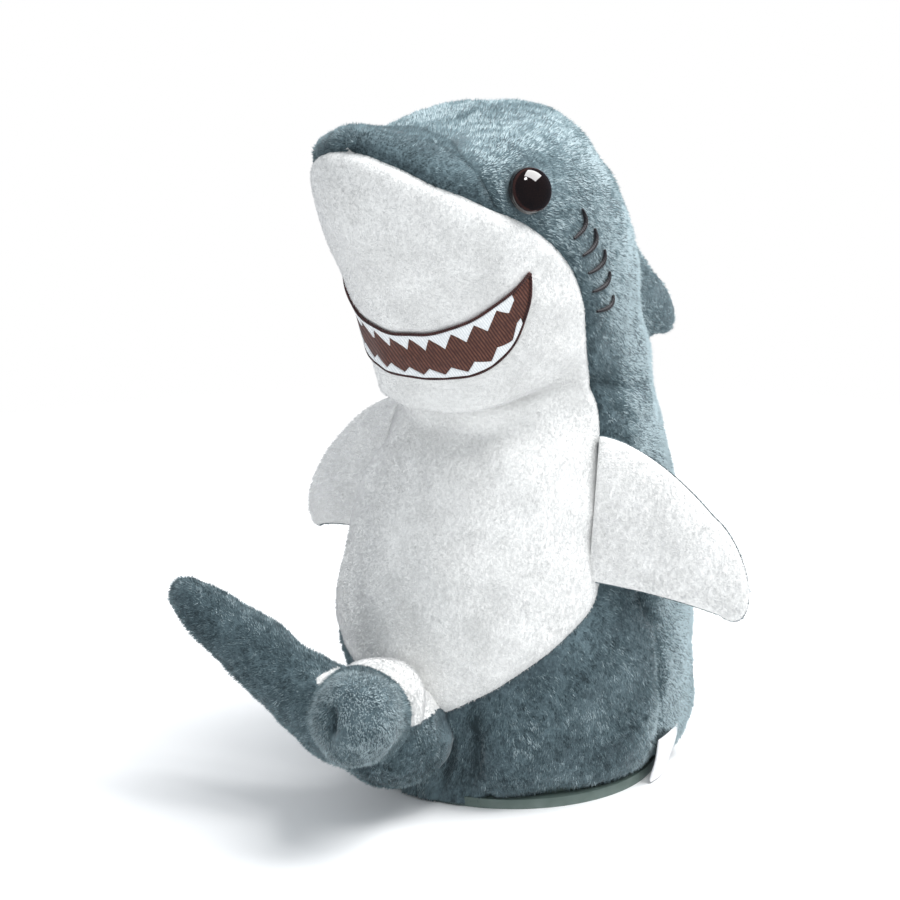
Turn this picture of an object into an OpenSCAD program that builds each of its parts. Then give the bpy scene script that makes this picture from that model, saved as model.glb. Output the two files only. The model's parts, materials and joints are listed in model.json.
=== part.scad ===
// Nodding plush shark on a hard base that holds its batteries, speaker and motor.
// Millimetres. +Z is up, the shark faces -Y and its left side is +X.

/* [Body] */
// Thickness of the pile fabric and its backing
skin = 2.4; // [1.8:0.1:3]
// Height of the top edge of the fixed lower skin
split_low = 50; // [48:0.5:50]
// Height of the bottom edge of the nodding upper skin
split_high = 55; // [55:0.5:57]
// Gap left at each seam between two panels, each side
seam_gap = 0.3; // [0.2:0.1:0.5]

/* [Nod drive] */
// Depth position of the nod pin
nod_y = 3; // [2:0.5:4]
// Height of the nod pin
nod_z = 30; // [29.5:0.5:31]
// Distance from the nod pin back to the crank shaft
crank_reach = 20; // [19:0.5:21]
// Throw of the crank pin
throw = 1.7; // [1.2:0.1:1.9]
// Gear module
gear_m = 0.8; // [0.7:0.05:0.8]
// Gap round the crank pin in its slot
slot_gap = 0.6; // [0.6:0.05:0.8]

/* [Base] */
// Radius of the hard base rim
rim_r = 39; // [38:0.5:40]
// Height of the lower housing
tray_h = 15; // [15:0.25:15.5]

/* [Eyes] */
// Radius of the eye dome
eye_r = 5.6; // [5:0.1:6]

/* [Hidden] */
$fn = 48;

grey = [0.38, 0.46, 0.50];
dark = [0.26, 0.33, 0.36];
white = [0.93, 0.93, 0.92];
tray_colour = [0.20, 0.27, 0.25];

// Body stations from the base to the nose: front y, z, back y, z and half width
stations = [
  [-38, 2.8, 39, 2.8, 38.5],
  [-42, 9, 44, 9, 42],
  [-45, 22, 50, 22, 44.5],
  [-46, 40, 52, 42, 45],
  [-43, 58, 50, 62, 43],
  [-38, 75, 45, 84, 39],
  [-33, 88, 40, 102, 35.5],
  [-28, 96, 37, 118, 33],
  [-33, 102, 34, 130, 33],
  [-40, 110, 31, 142, 34.5],
  [-46, 122, 26, 155, 35],
  [-52, 133, 18, 167, 34.5],
  [-59, 144, 5, 176, 31.5],
  [-65, 154, -12, 179, 26.5],
  [-68, 162, -30, 175, 21.5],
  [-68, 169, -46, 176, 16],
  [-66, 174, -57, 178, 9],
  [-63, 177, -61.5, 178, 0.8]];
last = len(stations) - 1;

// Where the white front panel ends, as degrees round from the front, along the stations
white_edge = [[2, 2], [2.7, 34], [3.7, 66], [5, 76], [7.4, 73], [9.5, 80], [11, 77],
  [12.5, 65], [14.5, 54], [15.6, 26], [16.4, 4]];

function bend(a, b, c, d, f) =
  0.5 * (2 * b + (c - a) * f + (2 * a - 5 * b + 4 * c - d) * f * f
  + (3 * b - a - 3 * c + d) * f * f * f);

function station(t) =
  let (i = max(0, min(last - 1, floor(t))))
  bend(stations[max(0, i - 1)], stations[i], stations[i + 1], stations[min(last, i + 2)], t - i);

// A point on the body: t along the stations, a round from the front, grow outwards
function body_at(t, a, grow) =
  let (s = station(t), c = [s[0] + s[2], s[1] + s[3]] / 2, d = [s[2] - s[0], s[3] - s[1]] / 2,
  k = 1 + grow / norm(d))
  [(s[4] + grow) * sin(a), c[0] - cos(a) * d[0] * k, c[1] - cos(a) * d[1] * k];

function edge_at(t) = t < 2 ? 0 : lookup(t, white_edge);

// A curved plate between two faces given as functions of u and v
module plate(face_a, face_b, nu, nv) {
  w = nv + 1;
  n = (nu + 1) * w;
  pts = concat(
    [for (i = [0:nu]) for (j = [0:nv]) face_a(i / nu, j / nv)],
    [for (i = [0:nu]) for (j = [0:nv]) face_b(i / nu, j / nv)]);
  top = [for (i = [0:nu - 1]) for (j = [0:nv - 1])
    for (f = [[0, 1, w], [1, w + 1, w]]) [for (q = f) i * w + j + q]];
  low = [for (f = top) [f[2] + n, f[1] + n, f[0] + n]];
  ring = concat([for (j = [0:nv - 1]) j], [for (i = [0:nu - 1]) i * w + nv],
    [for (j = [nv:-1:1]) nu * w + j], [for (i = [nu:-1:1]) i * w]);
  m = len(ring);
  side = [for (k = [0:m - 1]) for (f = [[ring[k], ring[k] + n, ring[(k + 1) % m]],
    [ring[(k + 1) % m], ring[k] + n, ring[(k + 1) % m] + n]]) f];
  polyhedron(pts, concat(top, low, side));
}

// Fabric panel over a range of stations; ang(t, v) gives the angle across it
module panel(t0, t1, ang, nu, nv) {
  plate(function(u, v) let (t = t0 + (t1 - t0) * u) body_at(t, ang(t, v), -skin),
    function(u, v) let (t = t0 + (t1 - t0) * u) body_at(t, ang(t, v), 0), nu, nv);
}

// Degrees of arc that make the seam gap at a station
function gap_deg(t) = seam_gap / max(4, station(t)[4]) * 57;

function white_ang(t, v) = let (e = max(1, edge_at(t) - gap_deg(t))) e * (2 * v - 1);

// Angle across the grey back from the left seam to the centre line
function grey_ang(t, v) =
  let (e = edge_at(t) + gap_deg(t)) e + (180 - gap_deg(t) - e) * v;

// Closed loft of rings
module rings(pt, n, m) {
  body = [for (i = [0:n - 1]) for (j = [0:m - 1])
    let (a = i * m + j, b = i * m + (j + 1) % m)
    for (f = [[a, b, a + m], [b, b + m, a + m]]) f];
  polyhedron([for (i = [0:n]) for (j = [0:m - 1]) pt(i / n, j * 360 / m)],
    concat([[for (j = [m - 1:-1:0]) j]], body, [[for (j = [0:m - 1]) n * m + j]]));
}

module body_loft(t0, t1, grow, n, m) {
  rings(function(u, a) body_at(t0 + (t1 - t0) * u, -a, grow), n, m);
}

module slab(z0, z1) {
  translate([-100, -120, z0]) cube([200, 240, z1 - z0]);
}

module tube_x(x0, x1, y, z, r) {
  translate([x0, y, z]) rotate([0, 90, 0]) cylinder(h = x1 - x0, r = r);
}

// ---- hard base ----
rim_h = 2.6;
floor_z = 2.4;
floor_t = 1.8;
bay_y = 6;
bay = [47, 34];
door = [45, 33];
cell_z = 9.7;
boss_at = [[29.5, 8], [-29.5, 8], [0, -30.5], [0, 30.8]];
door_screw_y = -14.4;
speaker_at = [-12.3, -21.35];
speaker_r = 8.9;
switch_at = [13, -22];

module base_tray() {
  color(tray_colour) difference() {
    union() {
      cylinder(h = rim_h, r = rim_r, $fn = 96);
      cylinder(h = tray_h, r = 35.4, $fn = 96);
    }
    translate([0, 0, -1]) cylinder(h = floor_z + 1, r = 34.4, $fn = 96);
    difference() {
      translate([0, 0, floor_z + floor_t]) cylinder(h = tray_h, r = 33.6, $fn = 96);
      for (p = boss_at)
        translate([p[0], p[1], 0]) cylinder(h = 9.8, r = 3.2);
      translate([0, door_screw_y, 0]) cylinder(h = 11, r = 2.8);
      translate([-bay[0] / 2 - 1.4, bay_y - bay[1] / 2 - 1.4, 0])
        cube([bay[0] + 2.8, bay[1] + 2.8, 12.5]);
    }
    translate([-bay[0] / 2, bay_y - bay[1] / 2, floor_z + floor_t])
      cube([bay[0], bay[1], 20]);
    door_outline(0.3, floor_z - 1, 10);
    translate([0, door_screw_y, -1]) cylinder(h = 11.2, r = 1.35);
    for (p = boss_at)
      translate([p[0], p[1], 0]) cylinder(h = 20, r = 1.45);
    for (i = [-2:2])
      translate([speaker_at[0] + i * 3 - 0.7, speaker_at[1] - 6 + abs(i), 0])
        cube([1.4, 12 - 2 * abs(i), 8]);
    translate([switch_at[0] - 4.2, switch_at[1] - 1.9, 0]) cube([8.4, 3.8, 8]);
  }
}

module door_outline(grow, z0, h) {
  translate([-door[0] / 2 - grow, bay_y - door[1] / 2 - grow, z0])
    cube([door[0] + 2 * grow, door[1] + 2 * grow, h]);
}

module battery_door() {
  color(tray_colour) difference() {
    union() {
      door_outline(0, floor_z, floor_t);
      translate([-6, door_screw_y - 4, floor_z - 1.35]) cube([12, 12, 1.3]);
      translate([-6, bay_y - door[1] / 2, floor_z - 1.35]) cube([12, 4, 2]);
    }
    translate([0, door_screw_y, 0]) cylinder(h = 8, r = 1.45);
    for (i = [-2:2])
      translate([-8, 12 + i * 2.4, floor_z - 0.1]) cube([16, 1, 0.6]);
  }
}

module door_screw() {
  color([0.7, 0.7, 0.72]) screw(0, door_screw_y, floor_z - 1.35, 0.9, 2.1, 1.3, 8);
}

// A screw driven upwards: head below z, shank above it
module screw(x, y, z, head_h, head_r, r, len) {
  translate([x, y, z]) difference() {
    union() {
      translate([0, 0, -head_h]) cylinder(h = head_h, r = head_r, $fn = 32);
      cylinder(h = len, r = r, $fn = 24);
    }
    for (a = [0, 90])
      rotate([0, 0, a]) translate([-1.2, -0.25, -head_h - 0.1]) cube([2.4, 0.5, 0.6]);
  }
}

module housing_screws() {
  color([0.7, 0.7, 0.72]) for (p = boss_at)
    screw(p[0], p[1], floor_z, 1.4, 2.6, 1.4, 11.4);
}

module battery_cells() {
  for (i = [-1:1]) {
    y = bay_y + i * 10.9;
    flip = i == 0 ? -1 : 1;
    color([0.55, 0.42, 0.20]) tube_x(-21.6, 21.6, y, cell_z, 5.2);
    color([0.8, 0.8, 0.8]) tube_x(flip > 0 ? 21.6 : -22.6, flip > 0 ? 22.6 : -21.6, y, cell_z, 1.9);
  }
}

module contact_springs() {
  color([0.75, 0.75, 0.73]) for (i = [-1:1]) {
    flip = i == 0 ? 1 : -1;
    for (k = [0:2])
      translate([flip * (21.95 + k * 0.35), bay_y + i * 10.9, cell_z]) rotate([0, 90, 0])
        rotate_extrude($fn = 24) translate([1.6 + k * 0.6, 0]) circle(r = 0.2, $fn = 8);
  }
}

module contact_plates() {
  color([0.8, 0.78, 0.7]) for (s = [-1, 1])
    for (i = [-1:1])
      translate([s > 0 ? 23.0 : -23.4, bay_y + i * 10.9 - 4, 5.8]) cube([0.4, 8, 8]);
}

module base_cover() {
  color(tray_colour) difference() {
    union() {
      translate([0, 0, tray_h]) cylinder(h = 2, r = 35.4, $fn = 96);
      for (p = boss_at)
        translate([p[0], p[1], 10]) cylinder(h = 5.5, r = 3.2);
    }
    for (p = boss_at)
      translate([p[0], p[1], 5]) cylinder(h = 9.5, r = 1.45);
    translate([-14, -17, 10]) cube([8, 4, 10]);
    for (p = bracket_at)
      translate([p[0], p[1], 10]) cylinder(h = 10, r = 1.15);
  }
}

module circuit_board() {
  color([0.10, 0.35, 0.18]) translate([-18, -26.8, 12.7]) cube([36, 12, 1.2]);
}

module board_components() {
  color([0.1, 0.1, 0.1]) {
    translate([-4, -24, 11.3]) cube([9, 7, 1.4]);
    translate([9, -26, 11.7]) cube([3, 2, 1]);
    translate([9, -19, 11.7]) cube([3, 2, 1]);
    translate([14.5, -18, 9.7]) cylinder(h = 3, r = 2);
  }
}

module speaker_frame() {
  color([0.25, 0.25, 0.27]) translate([speaker_at[0], speaker_at[1], 0]) difference() {
    union() {
      translate([0, 0, 4.2]) cylinder(h = 1.2, r = speaker_r);
      translate([0, 0, 5.4]) cylinder(h = 2, r1 = 8.4, r2 = 5.6);
    }
    translate([0, 0, 4.1]) cylinder(h = 1.3, r = 8);
    translate([0, 0, 5.3]) cylinder(h = 1.7, r1 = 7.4, r2 = 5);
    translate([0, 0, 5.6]) cylinder(h = 3, r = 5);
  }
}

module speaker_cone() {
  color([0.45, 0.42, 0.38]) translate([speaker_at[0], speaker_at[1], 0])
    rotate_extrude() polygon([[0, 4.9], [1.5, 5.1], [3, 6.1], [4.2, 6.1], [7.6, 4.6],
      [7.6, 4.9], [4.4, 6.5], [2.6, 6.5], [1.2, 5.5], [0, 5.4]]);
}

module speaker_magnet() {
  color([0.6, 0.6, 0.62]) translate([speaker_at[0], speaker_at[1], 7.4]) cylinder(h = 3.4, r = 5.4);
}

module microphone() {
  color([0.7, 0.7, 0.7]) translate([25, -15.5, 4.2]) cylinder(h = 4.5, r = 2.9, $fn = 32);
}

module switch_body() {
  color([0.15, 0.15, 0.16]) translate([switch_at[0] - 5.5, switch_at[1] - 3, 4.3]) difference() {
    cube([11, 6, 4.5]);
    translate([1.2, 1.1, -0.1]) cube([8.6, 3.8, 2.2]);
  }
}

module switch_knob() {
  color([0.1, 0.1, 0.1]) {
    translate([switch_at[0] - 3.6, switch_at[1] - 1.5, 4.5]) cube([4.4, 3, 1.6]);
    translate([switch_at[0] - 2.9, switch_at[1] - 1.3, 1]) cube([3, 2.6, 3.6]);
  }
}

// ---- nod drive ----
deck = tray_h + 2;
crank = [nod_y + crank_reach, nod_z];
motor_at = [19, nod_z + 14];
crank_n = 20;
small_n = 10;
big_n = 20;
pinion_n = 8;
reach_a = gear_m * (crank_n + small_n) / 2 + 0.1;
reach_b = gear_m * (big_n + pinion_n) / 2 + 0.1;
span = norm(motor_at - crank);
along = (motor_at - crank) / span;
foot = (reach_a ^ 2 - reach_b ^ 2 + span ^ 2) / (2 * span);
idler = crank + along * foot - [along[1], -along[0]] * sqrt(reach_a ^ 2 - foot ^ 2);
bracket_at = [[-17, -5], [17, -5], [-17, 27], [17, 27]];

function heading(a, b) = atan2(b[1] - a[1], b[0] - a[0]);

// Gear outline with its first tooth on the y axis of the drawing
module gear_2d(n) {
  r = gear_m * n / 2;
  q = 90 / n;
  polygon([for (i = [0:n - 1])
    for (c = [[-1.1, -0.95], [-0.78, 0.05], [-0.36, 0.72], [0.36, 0.72], [0.78, 0.05], [1.1, -0.95]])
      let (a = i * 360 / n + c[0] * q, rr = r + c[1] * gear_m) [rr * cos(a), rr * sin(a)]]);
}

// Gear on a shaft along X, its first tooth turned to the given heading in the YZ plane
module gear(at, x0, x1, n, turn) {
  translate([x0, at[0], at[1]]) rotate([90, 0, 90]) linear_extrude(x1 - x0)
    rotate([0, 0, turn]) gear_2d(n);
}

module crank_gear() {
  color([0.85, 0.82, 0.70]) {
    gear(crank, -19.4, -17.2, crank_n, heading(crank, idler));
    tube_x(-23, -19.3, crank[0], crank[1], 1.5);
    tube_x(-17.3, -13.2, crank[0] + throw, crank[1], 1.2);
  }
}

module idler_gear() {
  color([0.85, 0.82, 0.70]) {
    gear(idler, -19.4, -17.2, small_n, heading(idler, crank) + 180 / small_n);
    gear(idler, -25.4, -23.2, big_n, heading(idler, motor_at));
    tube_x(-23.3, -19.3, idler[0], idler[1], 1.2);
  }
}

module motor_pinion() {
  color([0.8, 0.7, 0.4]) {
    gear(motor_at, -25.4, -23.2, pinion_n, heading(motor_at, idler) + 180 / pinion_n);
    tube_x(-23.3, -20.2, motor_at[0], motor_at[1], 0.9);
  }
}

module motor() {
  color([0.6, 0.6, 0.62]) {
    tube_x(-19.9, -16.7, motor_at[0], motor_at[1], 2.1);
    tube_x(-16.8, 3, motor_at[0], motor_at[1], 7.5);
    tube_x(2.9, 4.6, motor_at[0], motor_at[1], 3);
  }
}

module ear_2d() {
  polygon([[-8, deck + 2], [-5, nod_z + 6], [2, nod_z + 10], [12, nod_z + 20],
    [27, nod_z + 20], [29, nod_z + 12], [30, deck + 2]]);
}

module drive_bracket() {
  color([0.82, 0.82, 0.80]) difference() {
    union() {
      translate([-22.5, -8, deck]) cube([45, 38, 2]);
      for (x = [-22.5, 20])
        translate([x, 0, 0]) rotate([90, 0, 90]) linear_extrude(2.5) ear_2d();
    }
    tube_x(-30, 30, nod_y, nod_z, 1.5);
    tube_x(-30, 0, crank[0], crank[1], 1.55);
    tube_x(-30, 0, idler[0], idler[1], 1.25);
    tube_x(-30, 0, motor_at[0], motor_at[1], 2.2);
    for (p = bracket_at)
      translate([p[0], p[1], 10]) cylinder(h = 20, r = 1.15);
    translate([-10, 0, deck - 1]) cube([20, 26, 4]);
  }
}

module bracket_screws() {
  color([0.7, 0.7, 0.72]) for (p = bracket_at)
    translate([0, 0, 2 * deck + 4]) mirror([0, 0, 1])
      screw(p[0], p[1], deck + 2, 1.2, 2, 1.1, 3.8);
}

module nod_pin() {
  color([0.75, 0.75, 0.77]) tube_x(-22.6, 22.6, nod_y, nod_z, 1.5);
}

module arm_2d() {
  difference() {
    union() {
      translate([nod_y, nod_z]) circle(r = 4);
      translate([nod_y - 4, nod_z]) square([8, 26]);
    }
    translate([nod_y, nod_z]) circle(r = 1.55);
  }
}

module lever_2d() {
  difference() {
    translate([nod_y, nod_z - 3.6]) square([crank_reach + 6, 7.2]);
    translate([nod_y, nod_z]) circle(r = 3.9);
    for (s = [-1, 1])
      translate([crank[0] + s * (throw + 0.8), crank[1]]) circle(r = 1.2 + slot_gap, $fn = 32);
    translate([crank[0] - throw - 0.8, crank[1] - 1.2 - slot_gap])
      square([2 * (throw + 0.8), 2 * (1.2 + slot_gap)]);
  }
}

module nod_frame() {
  color([0.88, 0.88, 0.86]) {
    for (x = [-16.5, 14])
      translate([x, 0, 0]) rotate([90, 0, 90]) linear_extrude(2.5) arm_2d();
    translate([-16.5, 0, 0]) rotate([90, 0, 90]) linear_extrude(2.5) lever_2d();
    translate([-16.5, nod_y - 7, nod_z + 26]) cube([33, 14, 3]);
    translate([0, nod_y, nod_z + 29]) cylinder(h = 70, r = 5);
  }
}

module mast_plate() {
  color([0.88, 0.88, 0.86]) {
    translate([0, nod_y, nod_z + 99]) cylinder(h = 2, r = 8);
    translate([-15, nod_y - 1.5, nod_z + 101]) cube([30, 3, 22]);
  }
}

// ---- lower skin ----
module low_cut() {
  intersection() {
    children();
    slab(2.8, split_low);
  }
}

side_seam = 0.12;

module skirt_left() {
  color(dark) low_cut() panel(0.02, 4, function(t, v) let (e = edge_at(t) + gap_deg(t))
    e + (108 - gap_deg(t) - e) * v, 14, 10);
}

module skirt_right() {
  color(dark) mirror([1, 0, 0]) low_cut() panel(0.02, 4,
    function(t, v) let (e = edge_at(t) + gap_deg(t)) e + (108 - gap_deg(t) - e) * v, 14, 10);
}

module skirt_back() {
  color(grey) low_cut() panel(0.02, 4,
    function(t, v) 108 + gap_deg(t) + (144 - 2 * gap_deg(t)) * v, 8, 14);
}

module belly_low() {
  color(white) low_cut() panel(2.03, 4, function(t, v) white_ang(t, v), 8, 14);
}

module base_fill() {
  color([0.95, 0.94, 0.90]) difference() {
    intersection() {
      body_loft(1, 4, -skin - 0.5, 6, 32);
      slab(deck + 0.5, 43);
    }
    translate([0, 9, 0]) cylinder(h = 60, r = 32.5, $fn = 48);
  }
}

// Lining that closes the gap between the fixed and the nodding skin
module waist_sleeve() {
  color([0.55, 0.60, 0.62]) intersection() {
    difference() {
      body_loft(2, 5, -skin - 3.6, 6, 32);
      body_loft(1.9, 5.1, -skin - 4.8, 6, 32);
    }
    slab(43.5, 57.5);
  }
}

module label() {
  color([0.96, 0.96, 0.95]) plate(
    function(u, v) body_at(0.1 + 0.95 * u, 118 + 14 * v, 0.5 + 2.2 * (1 - u)),
    function(u, v) body_at(0.1 + 0.95 * u, 118 + 14 * v, 1 + 2.2 * (1 - u)), 4, 4);
}

// ---- upper skin ----
module high_cut() {
  intersection() {
    children();
    slab(split_high, 220);
  }
}

// Station of the brow seam, from beside the eye to the top of the head
function brow(v) = 12.1 + 1.7 * sin(min(90, 150 * v)) ^ 0.8;

module back_half() {
  high_cut() plate(
    function(u, v) let (t = 3.3 + (brow(v) - 0.03 - 3.3) * u) body_at(t, grey_ang(t, v), -skin),
    function(u, v) let (t = 3.3 + (brow(v) - 0.03 - 3.3) * u) body_at(t, grey_ang(t, v), 0),
    22, 12);
}

module back_left() {
  color(grey) difference() {
    back_half();
    eye_hole();
  }
}

module back_right() {
  color(grey) mirror([1, 0, 0]) difference() {
    back_half();
    eye_hole();
  }
}

module snout_top() {
  color(dark) plate(
    function(u, v) snout_pt(u, v, -min(skin, 0.3 + 3.4 * (1 - u))),
    function(u, v) snout_pt(u, v, 0), 12, 24);
}

function snout_pt(u, v, grow) =
  let (t = brow(1 - abs(2 * v - 1)) + 0.03 + (last - brow(1 - abs(2 * v - 1)) - 0.03) * u,
  e = t < 16.4 ? edge_at(t) + gap_deg(t) : max(1, 4 * (last - t) / 0.6))
  body_at(t, e + (360 - 2 * e) * v, grow);

module front_skin() {
  color(white) high_cut() panel(3.3, 16.2, function(t, v) white_ang(t, v), 34, 20);
}

module chest_fill() {
  color([0.95, 0.94, 0.90]) difference() {
    intersection() {
      body_loft(3.5, 8, -skin - 0.5, 10, 32);
      slab(63, 97);
    }
    translate([0, nod_y, 50]) cylinder(h = 90, r = 5.4);
  }
}

module head_fill() {
  color([0.95, 0.94, 0.90]) difference() {
    intersection() {
      body_loft(5.5, 16, -skin - 1, 22, 32);
      slab(97.6, 220);
    }
    translate([0, nod_y, 90]) cylinder(h = nod_z + 10, r = 5.4);
    translate([0, nod_y, nod_z + 98.6]) cylinder(h = 2.8, r = 8.4);
    translate([-15.4, nod_y - 1.9, nod_z + 100]) cube([30.8, 3.8, 23.4]);
    for (s = [0, 1])
      mirror([s, 0, 0]) eye_place() translate([0, 0, -9]) cylinder(h = 9, r = 6.6);
  }
}

// ---- eyes ----
eye_t = 12.35;
eye_rise = 4.2;
eye_a = 86;

// Child placed with +Z pointing out of the head at the left eye
module eye_place() {
  p = body_at(eye_t, eye_a, 0);
  translate(p) rotate([0, 0, -24]) rotate([0, 74, 0]) children();
}

module eye_hole() {
  eye_place() translate([0, 0, -6]) cylinder(h = 10, r = 2.3);
}

module eye() {
  color([0.05, 0.03, 0.03]) eye_place() {
    intersection() {
      translate([0, 0, eye_rise - 1.12 * eye_r]) sphere(r = 1.12 * eye_r, $fn = 48);
      translate([0, 0, 0.8]) cylinder(h = 8, r = eye_r);
    }
    translate([0, 0, -6.5]) cylinder(h = 7.6, r = 1.8, $fn = 24);
  }
}

module eye_left() {
  eye();
}

module eye_right() {
  mirror([1, 0, 0]) eye();
}

module eye_washers() {
  color([0.9, 0.9, 0.9]) for (s = [0, 1])
    mirror([s, 0, 0]) eye_place() translate([0, 0, -5.4]) difference() {
      cylinder(h = 1.2, r = 5.5, $fn = 40);
      translate([0, 0, -1]) cylinder(h = 4, r = 1.9, $fn = 24);
    }
}

// ---- embroidery ----
// Cord along a path of points on the skin
module cord(path, r) {
  n = len(path) - 1;
  rings(function(u, a) let (i = round(u * n), d = path[min(n, i + 1)] - path[max(0, i - 1)],
    f = d / norm(d), s = cross(f, [0, 0, 1]), x = s / norm(s), y = cross(x, f))
    path[i] + r * (x * cos(a) + y * sin(a)), n, 8);
}

// Gills: t of the upper and lower end and their angles, five bowed arcs
gills = [for (i = [0:4]) [11.3 - 0.48 * i, 11 - 0.4 * i, 97 - i * 0.6, 85 - i * 0.5]];

module gill_side() {
  for (g = gills)
    cord([for (k = [0:6]) let (u = k / 6, b = sin(180 * u))
      body_at(g[0] + (g[1] - g[0]) * u - 0.12 * b, g[2] + (g[3] - g[2]) * u + 2.2 * b, 0.6)], 0.5);
}

module gill_stitches() {
  color([0.20, 0.12, 0.20]) for (s = [0, 1])
    mirror([s, 0, 0]) gill_side();
}

mouth_half = 62;
function lip_low(a) = 9.25 + 1.68 * (abs(a) / mouth_half) ^ 4.6;
function lip_top(a) = 10.22 + 0.74 * (abs(a) / mouth_half) ^ 1.9;

module mouth_field() {
  color([0.35, 0.17, 0.13]) plate(
    function(u, v) mouth_pt(u, v, 0.35),
    function(u, v) mouth_pt(u, v, 0.75), 30, 4);
}

function mouth_pt(u, v, grow) =
  let (a = (2 * u - 1) * (mouth_half - 6), lo = lip_low(a) + 0.05, hi = max(lo + 0.04, lip_top(a) - 0.05))
  body_at(hi + (lo - hi) * v, a, grow);

module mouth_outline() {
  color([0.22, 0.09, 0.08])
    cord(concat([for (k = [-12:12]) let (a = k * mouth_half / 12) body_at(lip_top(a), a, 1)],
      [for (k = [11:-1:-11]) let (a = k * mouth_half / 12) body_at(lip_low(a), a, 1)]), 0.45);
}

module tooth(a, half, root, tip) {
  plate(function(u, v) let (w = half * (2 * u - 1) * (1 - 0.88 * v))
      body_at(root(a + w) + (tip - root(a + w)) * v, a + w, 0.95),
    function(u, v) let (w = half * (2 * u - 1) * (1 - 0.88 * v))
      body_at(root(a + w) + (tip - root(a + w)) * v, a + w, 1.45), 2, 2);
}

teeth_n = 11;
pitch = 2 * (mouth_half - 7) / teeth_n;

module teeth_upper() {
  color([0.97, 0.96, 0.93]) for (i = [0:teeth_n - 1])
    let (a = (i - (teeth_n - 1) / 2) * pitch, h = lip_top(a) - lip_low(a))
      tooth(a, pitch * 0.44, function(b) lip_top(b) - 0.09, lip_top(a) - 0.09 - 0.42 * h);
}

module teeth_lower() {
  color([0.97, 0.96, 0.93]) for (i = [0:teeth_n - 2])
    let (a = (i - (teeth_n - 2) / 2) * pitch, h = lip_top(a) - lip_low(a))
      tooth(a, pitch * 0.44, function(b) lip_low(b) + 0.09, lip_low(a) + 0.09 + 0.42 * h);
}

// ---- fins ----
// A fin lies in a plane: root point, direction down the root and direction outwards.
// lead and trail give the two edges along the root direction at a distance out.
fin_len = 32.5;
function fin_lead(b) = 44 * (max(0, b) / fin_len) ^ 1.6 + 4 * max(0, b / fin_len - 0.88) / 0.12;
function fin_trail(b) = 39 + 0.38 * b - 3 * max(0, b / fin_len - 0.88) / 0.12;

function fin_at(f, u, v, side, h) =
  let (b = f[3] * (1 - (1 - u) ^ 1.3), a = f[5](b) + (f[6](b) - f[5](b)) * v)
  f[0] + f[1] * a + f[2] * b + cross(f[1], f[2]) * side * h;

function fin_half(f, u, v) =
  let (x = 4 * v * (1 - v))
  0.3 + (f[4] * (0.25 + 0.75 * min(1, u * 3)) * (1 - 0.55 * u) * x ^ 0.55) * min(1, (1 - u) * 6 + 0.15);

module fin_panel(f, side) {
  plate(function(u, v) fin_at(f, u, v, side, max(0.1, fin_half(f, u, v) - 1.3)),
    function(u, v) fin_at(f, u, v, side, fin_half(f, u, v)), 12, 12);
}

module fin_fill(f) {
  plate(function(u, v) fin_at(f, 0.08 + 0.72 * u, 0.14 + 0.72 * v, -1,
      max(0.2, fin_half(f, 0.08 + 0.72 * u, 0.14 + 0.72 * v) - 1.8)),
    function(u, v) fin_at(f, 0.08 + 0.72 * u, 0.14 + 0.72 * v, 1,
      max(0.2, fin_half(f, 0.08 + 0.72 * u, 0.14 + 0.72 * v) - 1.8)), 8, 8);
}

function unit(v) = v / norm(v);
// Direction out of a fin, square to its root line and leaning to the wanted tip
function out_of(down, lean) = unit(lean - down * (lean * down));

left_down = unit([7, -6, -38]);
fin_l = [[36.4, -4.4, 96], left_down, out_of(left_down, [31, 11, -44]), fin_len, 5,
  function(b) fin_lead(b), function(b) fin_trail(b)];
right_down = unit([-7, -6, -38]);
fin_r = [[-36.4, -5, 96], right_down, out_of(right_down, [-33, 3.5, -42]), fin_len, 5,
  function(b) fin_lead(b), function(b) fin_trail(b)];

module fin_left_front() {
  color(white) fin_panel(fin_l, -1);
}

module fin_left_back() {
  color(grey) fin_panel(fin_l, 1);
}

module fin_left_fill() {
  color([0.95, 0.94, 0.90]) fin_fill(fin_l);
}

module fin_right_front() {
  color(white) fin_panel(fin_r, 1);
}

module fin_right_back() {
  color(grey) fin_panel(fin_r, -1);
}

module fin_right_fill() {
  color([0.95, 0.94, 0.90]) fin_fill(fin_r);
}

dorsal_down = unit([0, 11, -44]);
dorsal = [[0, 30.4, 149], dorsal_down, out_of(dorsal_down, [5, 33, -2]), 34, 4.6,
  function(b) 37 * (max(0, b) / 34) ^ 1.8, function(b) 44 - 0.05 * b];

module dorsal_left() {
  color(grey) fin_panel(dorsal, 1);
}

module dorsal_right() {
  color(grey) fin_panel(dorsal, -1);
}

// ---- tail ----
// Tube through points with a radius at each; a row is x, y, z and radius
module limb(rows, grow) {
  n = (len(rows) - 1) * 4;
  rings(function(u, a) let (t = u * (len(rows) - 1), i = min(len(rows) - 2, floor(t)),
    p = bend(rows[max(0, i - 1)], rows[i], rows[i + 1], rows[min(len(rows) - 1, i + 2)], t - i),
    q = limb_dir(rows, t), s = unit(cross(q, [0, 0, 1])), w = cross(s, q))
    [p[0], p[1], p[2]] + (p[3] + grow) * (s * cos(a) + w * sin(a)), n, 28);
}

function limb_dir(rows, t) =
  let (k = len(rows) - 1, i = max(0, min(k - 1, floor(t - 0.5))), j = min(k, i + 1),
  a = unit([for (c = [0:2]) rows[j][c] - rows[i][c]]),
  m = min(k, j + 1), n = m > j ? unit([for (c = [0:2]) rows[m][c] - rows[j][c]]) : a)
  unit(a + (n - a) * max(0, min(1, t - 0.5 - i)));

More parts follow.
